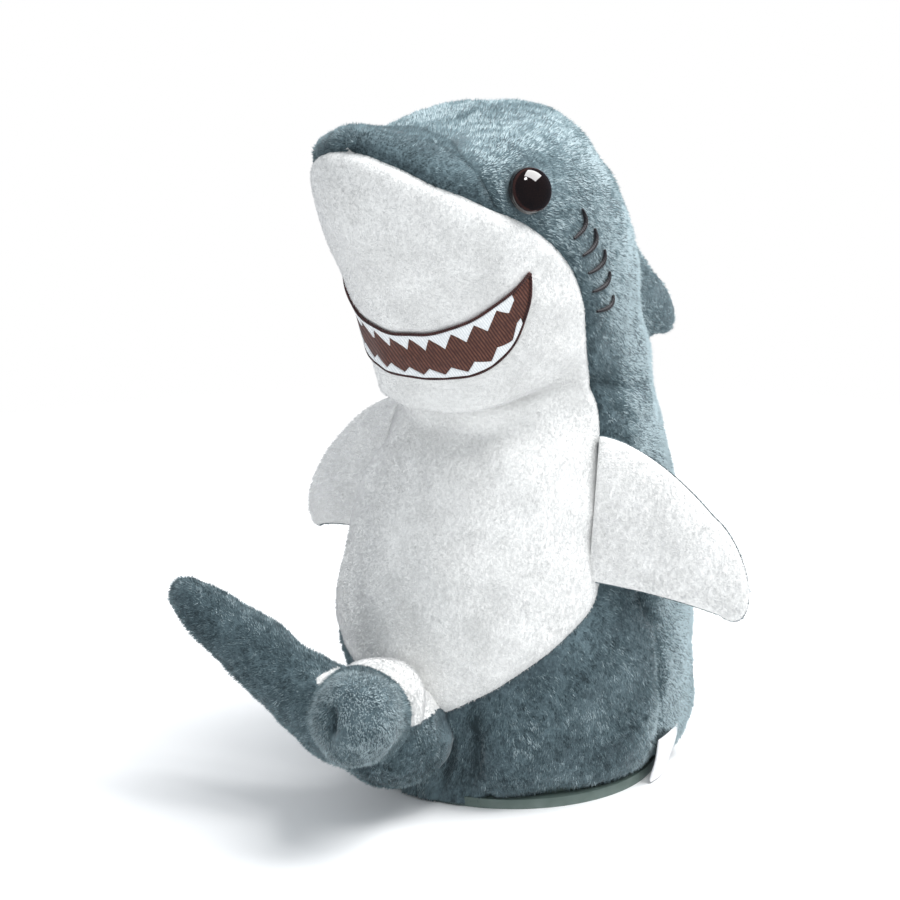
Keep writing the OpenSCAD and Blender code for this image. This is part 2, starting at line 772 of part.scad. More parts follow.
stalk_path = [[1, -46.8, 21, 13], [0, -51, 22, 14.5], [-2, -57, 25, 12.5]];
near_path = [[1, -57, 29.5, 9], [4.5, -61, 31.5, 11.5], [11, -70, 35.5, 11.5], [18, -79, 39.5, 10.5],
  [21.5, -83.5, 41.5, 7], [22.6, -85, 42.2, 1]];
far_path = [[-3, -57.5, 25, 11], [-6, -60, 26.5, 12.6], [-15, -65, 32.5, 11], [-27, -70, 41.5, 9.2],
  [-39, -74.5, 51, 7.2], [-45.5, -77, 56.5, 5], [-48, -78, 58.6, 1]];

module tail_stalk() {
  color(white) difference() {
    limb(stalk_path, 0);
    translate([-50, -46.6, -10]) cube([100, 20, 80]);
  }
}

module tail_lobe_left() {
  color(grey) difference() {
    limb(near_path, 0);
    limb(stalk_path, 0.3);
  }
}

module tail_lobe_right() {
  color(dark) difference() {
    limb(far_path, 0);
    limb(stalk_path, 0.3);
    limb(near_path, 0.3);
  }
}

base_tray();
base_cover();
housing_screws();
battery_cells();
contact_springs();
contact_plates();
circuit_board();
board_components();
speaker_frame();
speaker_cone();
speaker_magnet();
microphone();
switch_body();
switch_knob();
battery_door();
door_screw();
drive_bracket();
bracket_screws();
motor();
motor_pinion();
idler_gear();
crank_gear();
nod_pin();
nod_frame();
mast_plate();
skirt_left();
skirt_right();
skirt_back();
belly_low();
base_fill();
waist_sleeve();
label();
front_skin();
back_left();
back_right();
snout_top();
chest_fill();
head_fill();
eye_left();
eye_right();
eye_washers();
gill_stitches();
mouth_field();
mouth_outline();
teeth_upper();
teeth_lower();
fin_left_front();
fin_left_back();
fin_left_fill();
fin_right_front();
fin_right_back();
fin_right_fill();
dorsal_left();
dorsal_right();
tail_stalk();
tail_lobe_left();
tail_lobe_right();
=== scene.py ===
# %% [markdown]
# # A nodding plush shark
# The toy is a short-pile plush body sewn from grey and white panels, pulled over stuffing, a nod
# mechanism and a hard round base. The mechanism is already designed, and this lesson dresses it:
# it sews the cover, grows its pile, embroiders the mouth and the gills, and sets the eyes.
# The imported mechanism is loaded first, as a frame that nothing here moves.

# %% Load the frame and keep its size
import json
import math

import bpy
import numpy as np
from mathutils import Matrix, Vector
from mathutils.kdtree import KDTree


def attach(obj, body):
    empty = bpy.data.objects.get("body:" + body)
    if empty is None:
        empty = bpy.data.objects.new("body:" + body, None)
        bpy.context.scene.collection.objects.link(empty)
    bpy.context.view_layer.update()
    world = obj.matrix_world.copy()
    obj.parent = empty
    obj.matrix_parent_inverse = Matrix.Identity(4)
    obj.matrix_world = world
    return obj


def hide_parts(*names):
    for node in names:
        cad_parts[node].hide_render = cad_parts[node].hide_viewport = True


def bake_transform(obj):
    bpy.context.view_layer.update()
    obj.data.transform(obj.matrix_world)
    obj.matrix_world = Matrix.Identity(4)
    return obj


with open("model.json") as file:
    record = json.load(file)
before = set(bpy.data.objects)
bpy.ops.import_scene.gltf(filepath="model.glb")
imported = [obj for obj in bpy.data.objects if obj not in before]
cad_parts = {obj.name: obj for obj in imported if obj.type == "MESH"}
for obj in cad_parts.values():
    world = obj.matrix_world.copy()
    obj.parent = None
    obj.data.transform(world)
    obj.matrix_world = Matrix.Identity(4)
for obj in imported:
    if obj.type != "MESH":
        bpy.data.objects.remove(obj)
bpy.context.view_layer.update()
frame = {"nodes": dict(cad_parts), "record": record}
nodes = frame["nodes"]

# %% [markdown]
# The toy is seen from its front left and a little above, from about 0.7 m, as one would look at
# it on a table. The camera is aimed at a point in the chest and its lens fills the frame. A small
# shift sets the toy right of the middle, which keeps its upright lines as they are.

# %% Camera
CAMERA_AZIMUTH, CAMERA_ELEVATION, CAMERA_DISTANCE = 38, 15, 0.7
LENS_MM, SHIFT = 107.8, (-0.0444, -0.0111)
AIM = Vector((0, -0.010, 0.090))
scene = bpy.context.scene
collection = scene.collection


def facing_the_toy(name, data, azimuth, elevation, distance):
    """An object that faces the toy from a direction in degrees; azimuth 0 is the toy's front."""
    turn, rise = math.radians(azimuth), math.radians(elevation)
    way = Vector((math.sin(turn) * math.cos(rise), -math.cos(turn) * math.cos(rise), math.sin(rise)))
    thing = bpy.data.objects.new(name, data)
    collection.objects.link(thing)
    thing.location = AIM + way * distance
    thing.rotation_mode = "QUATERNION"
    thing.rotation_quaternion = (-way).to_track_quat("-Z", "Y")
    return thing


lens = bpy.data.cameras.new("camera")
lens.sensor_width, lens.lens, lens.clip_start = 36, LENS_MM, 0.01
lens.shift_x, lens.shift_y = SHIFT
scene.camera = facing_the_toy("camera", lens, CAMERA_AZIMUTH, CAMERA_ELEVATION, CAMERA_DISTANCE)
scene.view_settings.view_transform = "Standard"
print("camera at", [round(x, 3) for x in scene.camera.location])

# %% [markdown]
# A soft body could be sculpted, or modelled as a box cage and subdivided. Here it is a loft: the
# same rings as the frame's solids, each with a front point, a back point and a half width, joined
# by a smooth curve. Every panel, seam, tooth and hair is then placed by two numbers: t, which
# counts rings from the base to the nose, and a, the degrees round from the front. Sizes are in
# millimetres until a mesh is made.

# %% The body as a loft
MM = 0.001
RINGS = np.array([
    [-38, 2.8, 39, 2.8, 38.5], [-42, 9, 44, 9, 42], [-45, 22, 50, 22, 44.5], [-46, 40, 52, 42, 45],
    [-43, 58, 50, 62, 43], [-38, 75, 45, 84, 39], [-33, 88, 40, 102, 35.5], [-28, 96, 37, 118, 33],
    [-33, 102, 34, 130, 33], [-40, 110, 31, 142, 34.5], [-46, 122, 26, 155, 35],
    [-52, 133, 18, 167, 34.5], [-59, 144, 5, 176, 31.5], [-65, 154, -12, 179, 26.5],
    [-68, 162, -30, 175, 21.5], [-68, 169, -46, 176, 16], [-66, 174, -57, 178, 9],
    [-62.3, 177.7, -62.2, 177.75, 0.05]], float)
LAST = len(RINGS) - 1


def curve_through(rows, t):
    """A smooth curve that passes through each row at whole numbers of t."""
    rows, t = np.asarray(rows, float), np.asarray(t, float)
    top = len(rows) - 1
    i = np.clip(np.floor(t), 0, top - 1).astype(int)
    f = (t - i)[..., None]
    a, b, c, d = (rows[np.clip(i + k, 0, top)] for k in (-1, 0, 1, 2))
    return 0.5 * (2 * b + (c - a) * f + (2 * a - 5 * b + 4 * c - d) * f**2
                  + (3 * b - a - 3 * c + d) * f**3)


def body_at(t, a):
    """The point on the plain loft at ring t and a degrees round, in millimetres."""
    t, a = np.broadcast_arrays(np.asarray(t, float), np.radians(np.asarray(a, float)))
    ring = curve_through(RINGS, t)
    front, back, half = ring[..., 0:2], ring[..., 2:4], ring[..., 4]
    side = (half * np.sin(a))[..., None]
    middle = (front + back) / 2 - np.cos(a)[..., None] * (back - front) / 2
    return np.concatenate([side, middle], -1)


def unit(v):
    """Directions of length 1."""
    return v / np.maximum(np.linalg.norm(v, axis=-1, keepdims=True), 1e-9)


def out_of_body(t, a):
    """The direction straight out of the loft."""
    t, a = np.broadcast_arrays(np.clip(np.asarray(t, float), 0.03, LAST - 0.03), np.asarray(a, float))
    up = body_at(t + 0.02, a) - body_at(t - 0.02, a)
    round_it = body_at(t, a + 0.6) - body_at(t, a - 0.6)
    return unit(np.cross(round_it, up))


print("front of the chest points", np.round(out_of_body(5, 0), 2))

# %% [markdown]
# The cover is cut in five panels: a white front from the belly to the nose, a grey back in a left
# and a right half, a grey cap over the snout, and the tail. The line between white and grey is
# given by its angle at a few rings. The brow seam, where the cap begins, climbs from beside the
# eye to the top of the head.

# %% Where the panels meet
WHITE_EDGE = np.array([
    [0, 0.2], [1.95, 0.3], [2, 2], [2.7, 34], [3.7, 66], [5, 76], [7.4, 73], [9.5, 80], [10.3, 80.3],
    [11, 78], [11.8, 73.7], [12.5, 68], [13.4, 65], [14, 65], [14.5, 61.5], [14.9, 55], [15.2, 47],
    [15.6, 35], [15.8, 18], [15.9, 6], [15.96, 0.3], [17, 0.3]])


def white_edge(t, side=1):
    """Degrees from the front to the seam, with the corners of the table rounded. The seam on the
    right, side -1, was sewn a little lower at the belly."""
    t = np.asarray(t, float)
    reach = np.clip((15.95 - t) * 0.3, 0.03, 0.2)
    near = [np.interp(t + k * reach, WHITE_EDGE[:, 0], WHITE_EDGE[:, 1]) for k in np.linspace(-1, 1, 9)]
    return np.mean(near, axis=0) + (17 * np.exp(-((t - 2.85) / 0.45) ** 2) if side < 0 else 0)


def brow_ring(v):
    """The ring of the brow seam: v is 0 at the white edge and 1 on the centre line."""
    return 12.2 + 2.1 * np.sin(np.radians(np.minimum(90, 150 * v))) ** 0.8


def line_on_body(spots, steps=260):
    """A fine row of points through a few (t, a) spots on the loft."""
    spots = curve_through(spots, np.linspace(0, len(spots) - 1, steps))
    return body_at(spots[:, 0], spots[:, 1])


def mirrored(line):
    return line * np.array([-1, 1, 1])


WHITE_FROM, WHITE_TO = 1.76, 16.0  # the rings where the white front begins and ends
edge_t = np.concatenate([np.linspace(WHITE_FROM, 4, 240), np.linspace(4, 15, 290), np.linspace(15, WHITE_TO, 160)])
white_seam = body_at(edge_t, white_edge(edge_t))
right_seam = body_at(edge_t, -white_edge(edge_t, -1))
brow_v = np.linspace(0, 1, 260)
brow_t = brow_ring(brow_v)
brow_seam = body_at(brow_t, white_edge(brow_t) + (180 - white_edge(brow_t)) * brow_v)
print("white seam length, mm:", round(float(np.linalg.norm(np.diff(white_seam, axis=0), axis=1).sum())))

# %% [markdown]
# A stuffed cover is never smooth. Seams pull in, cloth gathers where it is drawn under the base,
# the neck folds, and the filling makes soft lumps. Cloth simulation could find some of this, but
# these folds belong at known places, so they are modelled: each one is a line on the body that
# pulls the skin in, and the pull fades with the distance from the line.

# %% Lumps of filling
def lumps(points, size, seed, waves=24):
    """A smooth random value of about -1 to 1 whose bumps are about size millimetres across."""
    rng = np.random.default_rng(seed)
    pitch = rng.uniform(0.7, 1.4, waves) * math.pi / size
    ways = unit(rng.normal(size=(waves, 3))) * pitch[:, None]
    return np.sin(points @ ways.T + rng.uniform(0, math.tau, waves)).sum(-1) / math.sqrt(waves / 2)


# %% Seams and folds
def taper(n, start=0.15, end=0.15):
    """1 along a line, easing to 0 over its first and last part."""
    s = np.linspace(0, 1, n)
    ease = np.clip(np.minimum(s / max(start, 1e-6), (1 - s) / max(end, 1e-6)), 0, 1)
    return ease * ease * (3 - 2 * ease)


FOLDS = []


def fold(line, depth, width, ends=(0.15, 0.15)):
    """A line on the skin that pulls it in by depth, which fades over width."""
    FOLDS.append((line, depth * taper(len(line), *ends), width))


for seam in (white_seam, right_seam):
    fold(seam, 1.5, 1.5, (0.02, 0.02))
for seam in (brow_seam, mirrored(brow_seam)):
    fold(seam, 1.3, 1.6, (0.03, 0.0))
fold(line_on_body([(0.1, 180), (4, 180), (8, 180), (11, 180), (13.8, 180)]), 1.1, 1.4, (0.01, 0.01))
side_seam = line_on_body([(3.02, 93.5), (2.6, 95), (2.07, 96), (1.6, 98.5), (1, 103), (0.4, 107), (0.02, 109)])
for side in (side_seam, mirrored(side_seam)):
    fold(side, 1.8, 1.4, (0.1, 0.0))
    fold(side[:100], 3.6, 1.5, (0.2, 0.4))
NECK = [(6.6, -74), (7.45, -52), (7.98, -30), (7.86, -6), (7.92, 26), (7.9, 45), (7.86, 71)]
for spots, depth, width, ends in (
        ([(2.25, 17), (1.5, 15.7), (1, 13), (0.05, 7)], 3.6, 1.7, (0.5, 0.2)),
        ([(2.6, 23), (2.1, 24.4), (1.36, 24.7), (0.75, 22), (0.02, 18)], 3.7, 1.9, (0.35, 0.2)),
        ([(1.5, 20), (0.9, 18), (0.05, 12.5)], 2.0, 1.4, (0.5, 0.3)),
        ([(0.55, 28.6), (0.3, 28), (0.02, 27.6)], 2.6, 1.6, (0.8, 0.1)),
        ([(1.8, 32), (1.2, 34), (0.5, 33)], -1.4, 4.0, (0.5, 0.5)),
        ([(0.1, 128), (1.1, 127), (2.6, 125)], -4.6, 10.0, (0.2, 0.4)),
        ([(5.8, -55), (4.6, -55), (3.4, -54), (2.2, -52)], -3.6, 11.0, (0.3, 0.2)),
        ([(0.1, -115), (0.1, -60), (0.1, -20), (0.1, 15), (0.1, 42)], -3.8, 5.5, (0.2, 0.3)),
        ([(0.2, -128), (0.9, -127), (1.9, -125)], -3.4, 9.0, (0.3, 0.4)),
        ([(2, -15), (1.2, -13), (0.05, -9)], 2.2, 1.6, (0.5, 0)),
        ([(1.7, -27), (0.9, -25), (0.05, -22)], 1.4, 1.6, (0.5, 0)),
        (NECK, 2.6, 3.6, (0.12, 0.1)),
        (NECK, 2.4, 1.2, (0.12, 0.2)),
        ([(8.1, -52), (8.42, -30), (8.38, -6), (8.42, 26), (8.36, 50)], -3.4, 3.8, (0.3, 0.3)),
        ([(7.7, 72), (7.03, 89), (6.5, 111), (6.2, 135)], 1.9, 2.8, (0.1, 0.5)),
        ([(7.7, -72), (7.03, -89), (6.5, -111), (6.2, -135)], 1.9, 2.8, (0.1, 0.5)),
        ([(6.9, 79), (6.4, 88), (5.9, 97)], 1.0, 1.6, (0.3, 0.5)),
        ([(4.2, 80), (3.5, 87), (3.04, 95.7), (2.6, 104), (1.7, 118)], 2.2, 2.8, (0.3, 0.5)),
        ([(4, -84), (3.3, -92), (2.8, -104)], 1.1, 2.4, (0.4, 0.5)),
        ([(7.9, -40), (7.2, -20), (7.1, 10), (7.4, 40)], -0.8, 4.5, (0.4, 0.4))):
    fold(line_on_body(spots, 160), depth, width, ends)
print("seams and folds:", len(FOLDS))


# %% How far the skin stands out of the loft
def pull(points, line, depth, width):
    """What one fold takes away at each point."""
    tree = KDTree(len(line))
    for i, p in enumerate(line):
        tree.insert(p, i)
    tree.balance()
    reach = 4 * width
    near = np.all((points > line.min(0) - reach) & (points < line.max(0) + reach), -1)
    taken = np.zeros(len(points))
    for k in np.flatnonzero(near):
        _, i, d = tree.find(points[k])
        taken[k] = depth[i] * math.exp(-(d / width) ** 1.35)
    return taken


EYE_T, EYE_A, EYE_R = 12.35, 86, 5.6
eye_spot = body_at(EYE_T, EYE_A)


def creases(points):
    """What all the folds take away at each point."""
    return sum(pull(points, *one_fold) for one_fold in FOLDS)


def relief(t, a):
    """Millimetres that the finished skin stands out of the plain loft, negative in a fold."""
    plain = body_at(t, a).reshape(-1, 3)
    out = 0.34 * lumps(plain, 15, 1) + 0.16 * lumps(plain, 6.5, 2) - 1.0 - creases(plain)
    for eye in (eye_spot, mirrored(eye_spot)):
        out -= 1.0 * np.exp(-(np.linalg.norm(plain - eye, axis=1) / 6.5) ** 4)
    out = out.reshape(np.shape(np.broadcast_arrays(t, a)[0]))
    hem = np.clip(1 - t / 0.35, 0, 1)
    return out - 0.6 * hem**2


def skin_at(t, a, above=0.0):
    """Points on the finished skin, or above it."""
    return body_at(t, a) + out_of_body(t, a) * (relief(t, a) + above)[..., None]


# %% [markdown]
# Meshes are written straight from arrays. A panel is a grid of points with a second grid a
# millimetre under it and a rim between them, so each panel is a closed piece of cloth with a
# real thickness and its edges meet the next panel at the bottom of the seam.

# %% From arrays to meshes
def grid_quads(nu, nv, first=0):
    """The squares of a grid of nu by nv cells whose points are numbered row by row."""
    i, j = np.meshgrid(np.arange(nu), np.arange(nv), indexing="ij")
    p = (first + i * (nv + 1) + j).ravel()
    return np.stack([p, p + 1, p + nv + 2, p + nv + 1], 1)


def ring_quads(rings, sides, closed=False):
    """The squares between rings of points, each with the same number of points round it."""
    i, j = np.meshgrid(np.arange(rings if closed else rings - 1), np.arange(sides), indexing="ij")
    p, q = i * sides + j, i * sides + (j + 1) % sides
    up = sides * np.where(i == rings - 1, 1 - rings, 1)
    return np.stack([p, q, q + up, p + up], -1).reshape(-1, 4)


def end_cap(sides, first=0):
    """Squares that close a ring, whose first point has this number."""
    return first + np.array([[0, k, k + 1, k + 2] for k in range(1, sides - 2, 2)])


def is_inside_out(points, faces):
    a, b, c = (points[faces[:, k]] for k in (0, 1, 2))
    volume = np.einsum("ij,ij->i", np.cross(a, b), c).sum()
    if faces.shape[1] == 4:
        volume += np.einsum("ij,ij->i", np.cross(a, c), points[faces[:, 3]]).sum()
    return volume < 0


def thick_plate(top, under):
    """Points and squares of a closed plate between two grids."""
    nu, nv = top.shape[0] - 1, top.shape[1] - 1
    n = (nu + 1) * (nv + 1)
    points = np.concatenate([top.reshape(-1, 3), under.reshape(-1, 3)])
    quads = grid_quads(nu, nv)
    index = np.arange(n).reshape(nu + 1, nv + 1)
    ring = np.concatenate([index[0, :-1], index[:-1, -1], index[-1, :0:-1], index[:0:-1, 0]])
    after = np.roll(ring, -1)
    rim = np.stack([ring, ring + n, after + n, after], 1)
    faces = np.concatenate([quads, quads[:, ::-1] + n, rim])
    return points, faces[:, ::-1] if is_inside_out(points, faces) else faces


def joined(parts):
    """Several sets of points and faces as one."""
    first = np.cumsum([0] + [len(p) for p, _ in parts[:-1]])
    return (np.concatenate([p for p, _ in parts]),
            np.concatenate([f + k for (_, f), k in zip(parts, first)]))


def add_piece(name, points, faces, *materials, pick=None):
    """A smooth mesh object from points in millimetres. pick gives each face's material."""
    mesh = bpy.data.meshes.new(name)
    sides = faces.shape[1]
    mesh.vertices.add(len(points))
    mesh.vertices.foreach_set("co", (points * MM).astype(np.float32).ravel())
    mesh.loops.add(faces.size)
    mesh.loops.foreach_set("vertex_index", faces.astype(np.int32).ravel())
    mesh.polygons.add(len(faces))
    mesh.polygons.foreach_set("loop_start", np.arange(0, faces.size, sides, dtype=np.int32))
    for material in materials:
        mesh.materials.append(material)
    if pick is not None:
        mesh.polygons.foreach_set("material_index", np.asarray(pick, np.int32))
    mesh.update(calc_edges=True)
    mesh.shade_smooth()
    piece = bpy.data.objects.new(name, mesh)
    collection.objects.link(piece)
    return piece


def tube(path, radius, sides=10, ribs=0.0, rib_pitch=0.6, slant=1.0, closed=False):
    """Points and squares of a cord along a path. Ribs cross it at a slant, as satin stitches do."""
    path = np.asarray(path, float)
    ahead = np.roll(path, -1, 0) - np.roll(path, 1, 0)
    if not closed:
        ahead[0], ahead[-1] = path[1] - path[0], path[-1] - path[-2]
    ahead = unit(ahead)
    side = unit(np.cross(ahead, unit(path - np.array([0, -20, 120]))))
    lift = np.cross(side, ahead)
    length = np.concatenate([[0], np.cumsum(np.linalg.norm(np.diff(path, axis=0), axis=1))])
    angle = np.linspace(0, math.tau, sides, endpoint=False)
    size = np.broadcast_to(np.asarray(radius, float), len(path))[:, None]
    wave = 1 + ribs * np.sin(length[:, None] * math.tau / rib_pitch + slant * angle)
    points = (path[:, None] + (side[:, None] * np.cos(angle)[None, :, None]
              + lift[:, None] * np.sin(angle)[None, :, None]) * (size * wave)[..., None]).reshape(-1, 3)
    faces = ring_quads(len(path), sides, closed)
    if not closed:
        faces = np.concatenate([faces, end_cap(sides)[:, ::-1], end_cap(sides, (len(path) - 1) * sides)])
    return points, faces


print("mesh helpers ready")

# %% [markdown]
# Colours are written as a dyer's swatch, three values from 0 to 255, and turned into the linear
# values that Blender's shaders use. Effects that several finishes share are node groups with named
# inputs and outputs: each is built once and placed in every material that needs it.

# %% Swatches and node helpers
def swatch(red, green, blue):
    """A swatch as a linear colour with alpha."""
    def linear(x):
        x /= 255
        return x / 12.92 if x <= 0.04045 else ((x + 0.055) / 1.055) ** 2.4
    return (linear(red), linear(green), linear(blue), 1.0)


def node(tree, kind, links=None, **values):
    """Adds a node, sets its settings or unlinked inputs by name, and links inputs by index or name."""
    made = tree.nodes.new(kind)
    for key, value in values.items():
        if hasattr(made, key):
            setattr(made, key, value)
        else:
            made.inputs[key.replace("_", " ")].default_value = value
    for key, socket in (links or {}).items():
        tree.links.new(socket, made.inputs[key])
    return made


def group(name, inputs, outputs):
    """An empty node group with named inputs (kind, default) and outputs (kind), and its sockets inside."""
    tree = bpy.data.node_groups.new(name, "ShaderNodeTree")
    for key, (kind, value) in inputs.items():
        tree.interface.new_socket(name=key, in_out="INPUT", socket_type=kind).default_value = value
    for key, kind in outputs.items():
        tree.interface.new_socket(name=key, in_out="OUTPUT", socket_type=kind)
    return tree, tree.nodes.new("NodeGroupInput").outputs, tree.nodes.new("NodeGroupOutput").inputs


def place(tree, shared, **values):
    """A shared group in a material, with that material's own values. Returns its outputs."""
    made = tree.nodes.new("ShaderNodeGroup")
    made.node_tree = shared
    for key, value in values.items():
        made.inputs[key.replace("_", " ")].default_value = value
    return made.outputs


def feed(tree, inputs, **sockets):
    """Links sockets into inputs by name."""
    for key, socket in sockets.items():
        tree.links.new(socket, inputs[key.replace("_", " ")])


def noise(tree, scale, detail, where=None, **values):
    """A noise over the object, or over where. The scale is a number or a socket."""
    links = {"Vector": where or node(tree, "ShaderNodeTexCoord").outputs["Object"]}
    (links if isinstance(scale, bpy.types.NodeSocket) else values)["Scale"] = scale
    return node(tree, "ShaderNodeTexNoise", links, Detail=detail, **values).outputs["Fac"]


def worked(tree, operation, a, b):
    """Two sockets added, multiplied or compared."""
    return node(tree, "ShaderNodeMath", {0: a, 1: b}, operation=operation).outputs[0]


def mixed(tree, factor, a, b):
    """The colour between a and b. Each is a socket or a swatch."""
    mix = tree.nodes.new("ShaderNodeMix")
    mix.data_type = "RGBA"
    for index, value in ((0, factor), (6, a), (7, b)):
        if isinstance(value, bpy.types.NodeSocket):
            tree.links.new(value, mix.inputs[index])
        else:
            mix.inputs[index].default_value = value
    return mix.outputs[2]


def ramped(tree, value, low, high, to_low=0.0, to_high=1.0):
    """A value spread from low..high to another range."""
    return node(tree, "ShaderNodeMapRange", {"Value": value}, From_Min=low, From_Max=high,
                To_Min=to_low, To_Max=to_high).outputs["Result"]


FLOAT, COLOUR = "NodeSocketFloat", "NodeSocketColor"
print("one grey swatch in linear values:", [round(x, 3) for x in swatch(86, 105, 112)])

# %% [markdown]
# Short plush is never one colour: the pile leans in patches, so it is lighter or darker from one
# spot to the next, and single tufts stand out. The mottle group mixes two colours by a broad and a
# fine noise, and gives a height for the tufts. An image of plush would repeat and need unwrapping.

# %% Mottle of the pile
def build_mottle():
    tree, given, out = group(
        "pile mottle",
        {"Light": (COLOUR, (1, 1, 1, 1)), "Dark": (COLOUR, (0, 0, 0, 1)), "Patch": (FLOAT, 90.0),
         "Tuft": (FLOAT, 1100.0)},
        {"Color": COLOUR, "Height": FLOAT})
    tuft = noise(tree, given["Tuft"], 2.0, Roughness=0.6)
    both = worked(tree, "ADD", noise(tree, given["Patch"], 3.0), tuft)
    colour = mixed(tree, ramped(tree, both, 0.72, 1.28), given["Dark"], given["Light"])
    feed(tree, out, Color=colour, Height=tuft)
    return tree


# %% Ribs of satin thread and woven cloth
def build_ribs():
    """Fine parallel threads with a little unevenness; the colour follows their relief, a painted
    highlight on each crest and painted shade in each groove.
    """
    tree, given, out = group(
        "thread ribs",
        {"Light": (COLOUR, (1, 1, 1, 1)), "Dark": (COLOUR, (0, 0, 0, 1)), "Pitch": (FLOAT, 700.0)},
        {"Color": COLOUR, "Height": FLOAT})
    where = node(tree, "ShaderNodeTexCoord").outputs["Object"]
    wave = node(tree, "ShaderNodeTexWave", {"Vector": where, "Scale": given["Pitch"]},
                bands_direction="DIAGONAL", Distortion=1.2, Detail=1.0).outputs["Fac"]
    # Colour darker in the grooves and lighter on the crests: painted shade and painted highlight.
    shade = worked(tree, "MULTIPLY", wave, noise(tree, 900.0, 2.0))
    colour = mixed(tree, ramped(tree, shade, 0.1, 0.55), given["Dark"], given["Light"])
    feed(tree, out, Color=colour, Height=wave)
    return tree


# %% Grain of moulded plastic, brushing of metal and wear on edges
def build_grain():
    """The fine spark texture of a mould, and the uneven gloss that handling leaves."""
    tree, given, out = group("mould grain", {"Grain": (FLOAT, 1500.0), "Gloss": (FLOAT, 0.4)},
                             {"Roughness": FLOAT, "Height": FLOAT})
    spread = ramped(tree, noise(tree, 45.0, 4.0), 0.3, 0.7, -0.08, 0.12)
    feed(tree, out, Roughness=worked(tree, "ADD", given["Gloss"], spread),
         Height=noise(tree, given["Grain"], 2.0))
    return tree


def build_brush():
    """Long fine scratches along one way, as drawn wire and rolled sheet have."""
    tree, given, out = group("brushed metal", {"Fine": (FLOAT, 900.0)}, {"Roughness": FLOAT, "Height": FLOAT})
    where = node(tree, "ShaderNodeTexCoord").outputs["Object"]
    stretched = node(tree, "ShaderNodeMapping", {"Vector": where})
    stretched.inputs["Scale"].default_value = (0.06, 1, 1)
    lines = noise(tree, given["Fine"], 3.0, stretched.outputs["Vector"])
    feed(tree, out, Roughness=ramped(tree, lines, 0.3, 0.7, 0.22, 0.42), Height=lines)
    return tree


def build_wear():
    """A mask of the outer edges, broken up so that the wear isn't even."""
    tree, given, out = group("edge wear", {"Amount": (FLOAT, 0.6)}, {"Mask": FLOAT})
    edge = node(tree, "ShaderNodeNewGeometry").outputs["Pointiness"]
    worn = worked(tree, "MULTIPLY", ramped(tree, edge, 0.52, 0.62), noise(tree, 260.0, 3.0))
    feed(tree, out, Mask=worked(tree, "MULTIPLY", worn, given["Amount"]))
    return tree


MOTTLE, RIBS, GRAIN, BRUSH, WEAR = build_mottle(), build_ribs(), build_grain(), build_brush(), build_wear()
print("shared groups:", [g.name for g in bpy.data.node_groups])

# %% [markdown]
# Each finish of the toy is one material. Its constant values sit on the shader's own sockets, and
# what changes over the surface comes from the shared groups.

# %% Materials from the shared groups
def new_finish(name, **values):
    material = bpy.data.materials.new(name)
    material.use_nodes = True
    shader = material.node_tree.nodes["Principled BSDF"]
    for key, value in values.items():
        shader.inputs[key.replace("_", " ")].default_value = value
    return material, material.node_tree, shader


def raise_by(tree, shader, height, strength, distance=0.0002):
    bump = node(tree, "ShaderNodeBump", {"Height": height}, Strength=strength, Distance=distance)
    feed(tree, shader.inputs, Normal=bump.outputs["Normal"])


def cloth(name, light, dark, patch=90.0, tuft=1100.0, bump=0.8, **values):
    """Pile, lining, wadding and other cloth that is mottled."""
    material, tree, shader = new_finish(name, Roughness=0.95, Specular_IOR_Level=0.15, **values)
    shared = place(tree, MOTTLE, Light=light, Dark=dark, Patch=patch, Tuft=tuft)
    feed(tree, shader.inputs, Base_Color=shared["Color"])
    raise_by(tree, shader, shared["Height"], bump, 0.0004)
    return material


def thread(name, light, dark, pitch=700.0, **values):
    """Embroidery thread and woven ribbon."""
    material, tree, shader = new_finish(name, Roughness=0.5, Sheen_Weight=0.2, **values)
    shared = place(tree, RIBS, Light=light, Dark=dark, Pitch=pitch)
    feed(tree, shader.inputs, Base_Color=shared["Color"])
    raise_by(tree, shader, shared["Height"], 0.5, 0.0001)
    return material


def plastic(name, colour, worn, gloss=0.4, **values):
    """Moulded plastic with a fine grain and paler edges."""
    material, tree, shader = new_finish(name, **values)
    wear = place(tree, WEAR, Amount=0.7)
    grain = place(tree, GRAIN, Gloss=gloss)
    feed(tree, shader.inputs, Base_Color=mixed(tree, wear["Mask"], colour, worn), Roughness=grain["Roughness"])
    raise_by(tree, shader, grain["Height"], 0.25, 0.0001)
    return material


def metal(name, colour, dull, fine=900.0):
    """Bare metal, brushed, with duller patches on its edges."""
    material, tree, shader = new_finish(name, Metallic=1.0)
    wear = place(tree, WEAR, Amount=0.5)
    brush = place(tree, BRUSH, Fine=fine)
    feed(tree, shader.inputs, Base_Color=mixed(tree, wear["Mask"], colour, dull), Roughness=brush["Roughness"])
    raise_by(tree, shader, brush["Height"], 0.2, 0.0001)
    return material
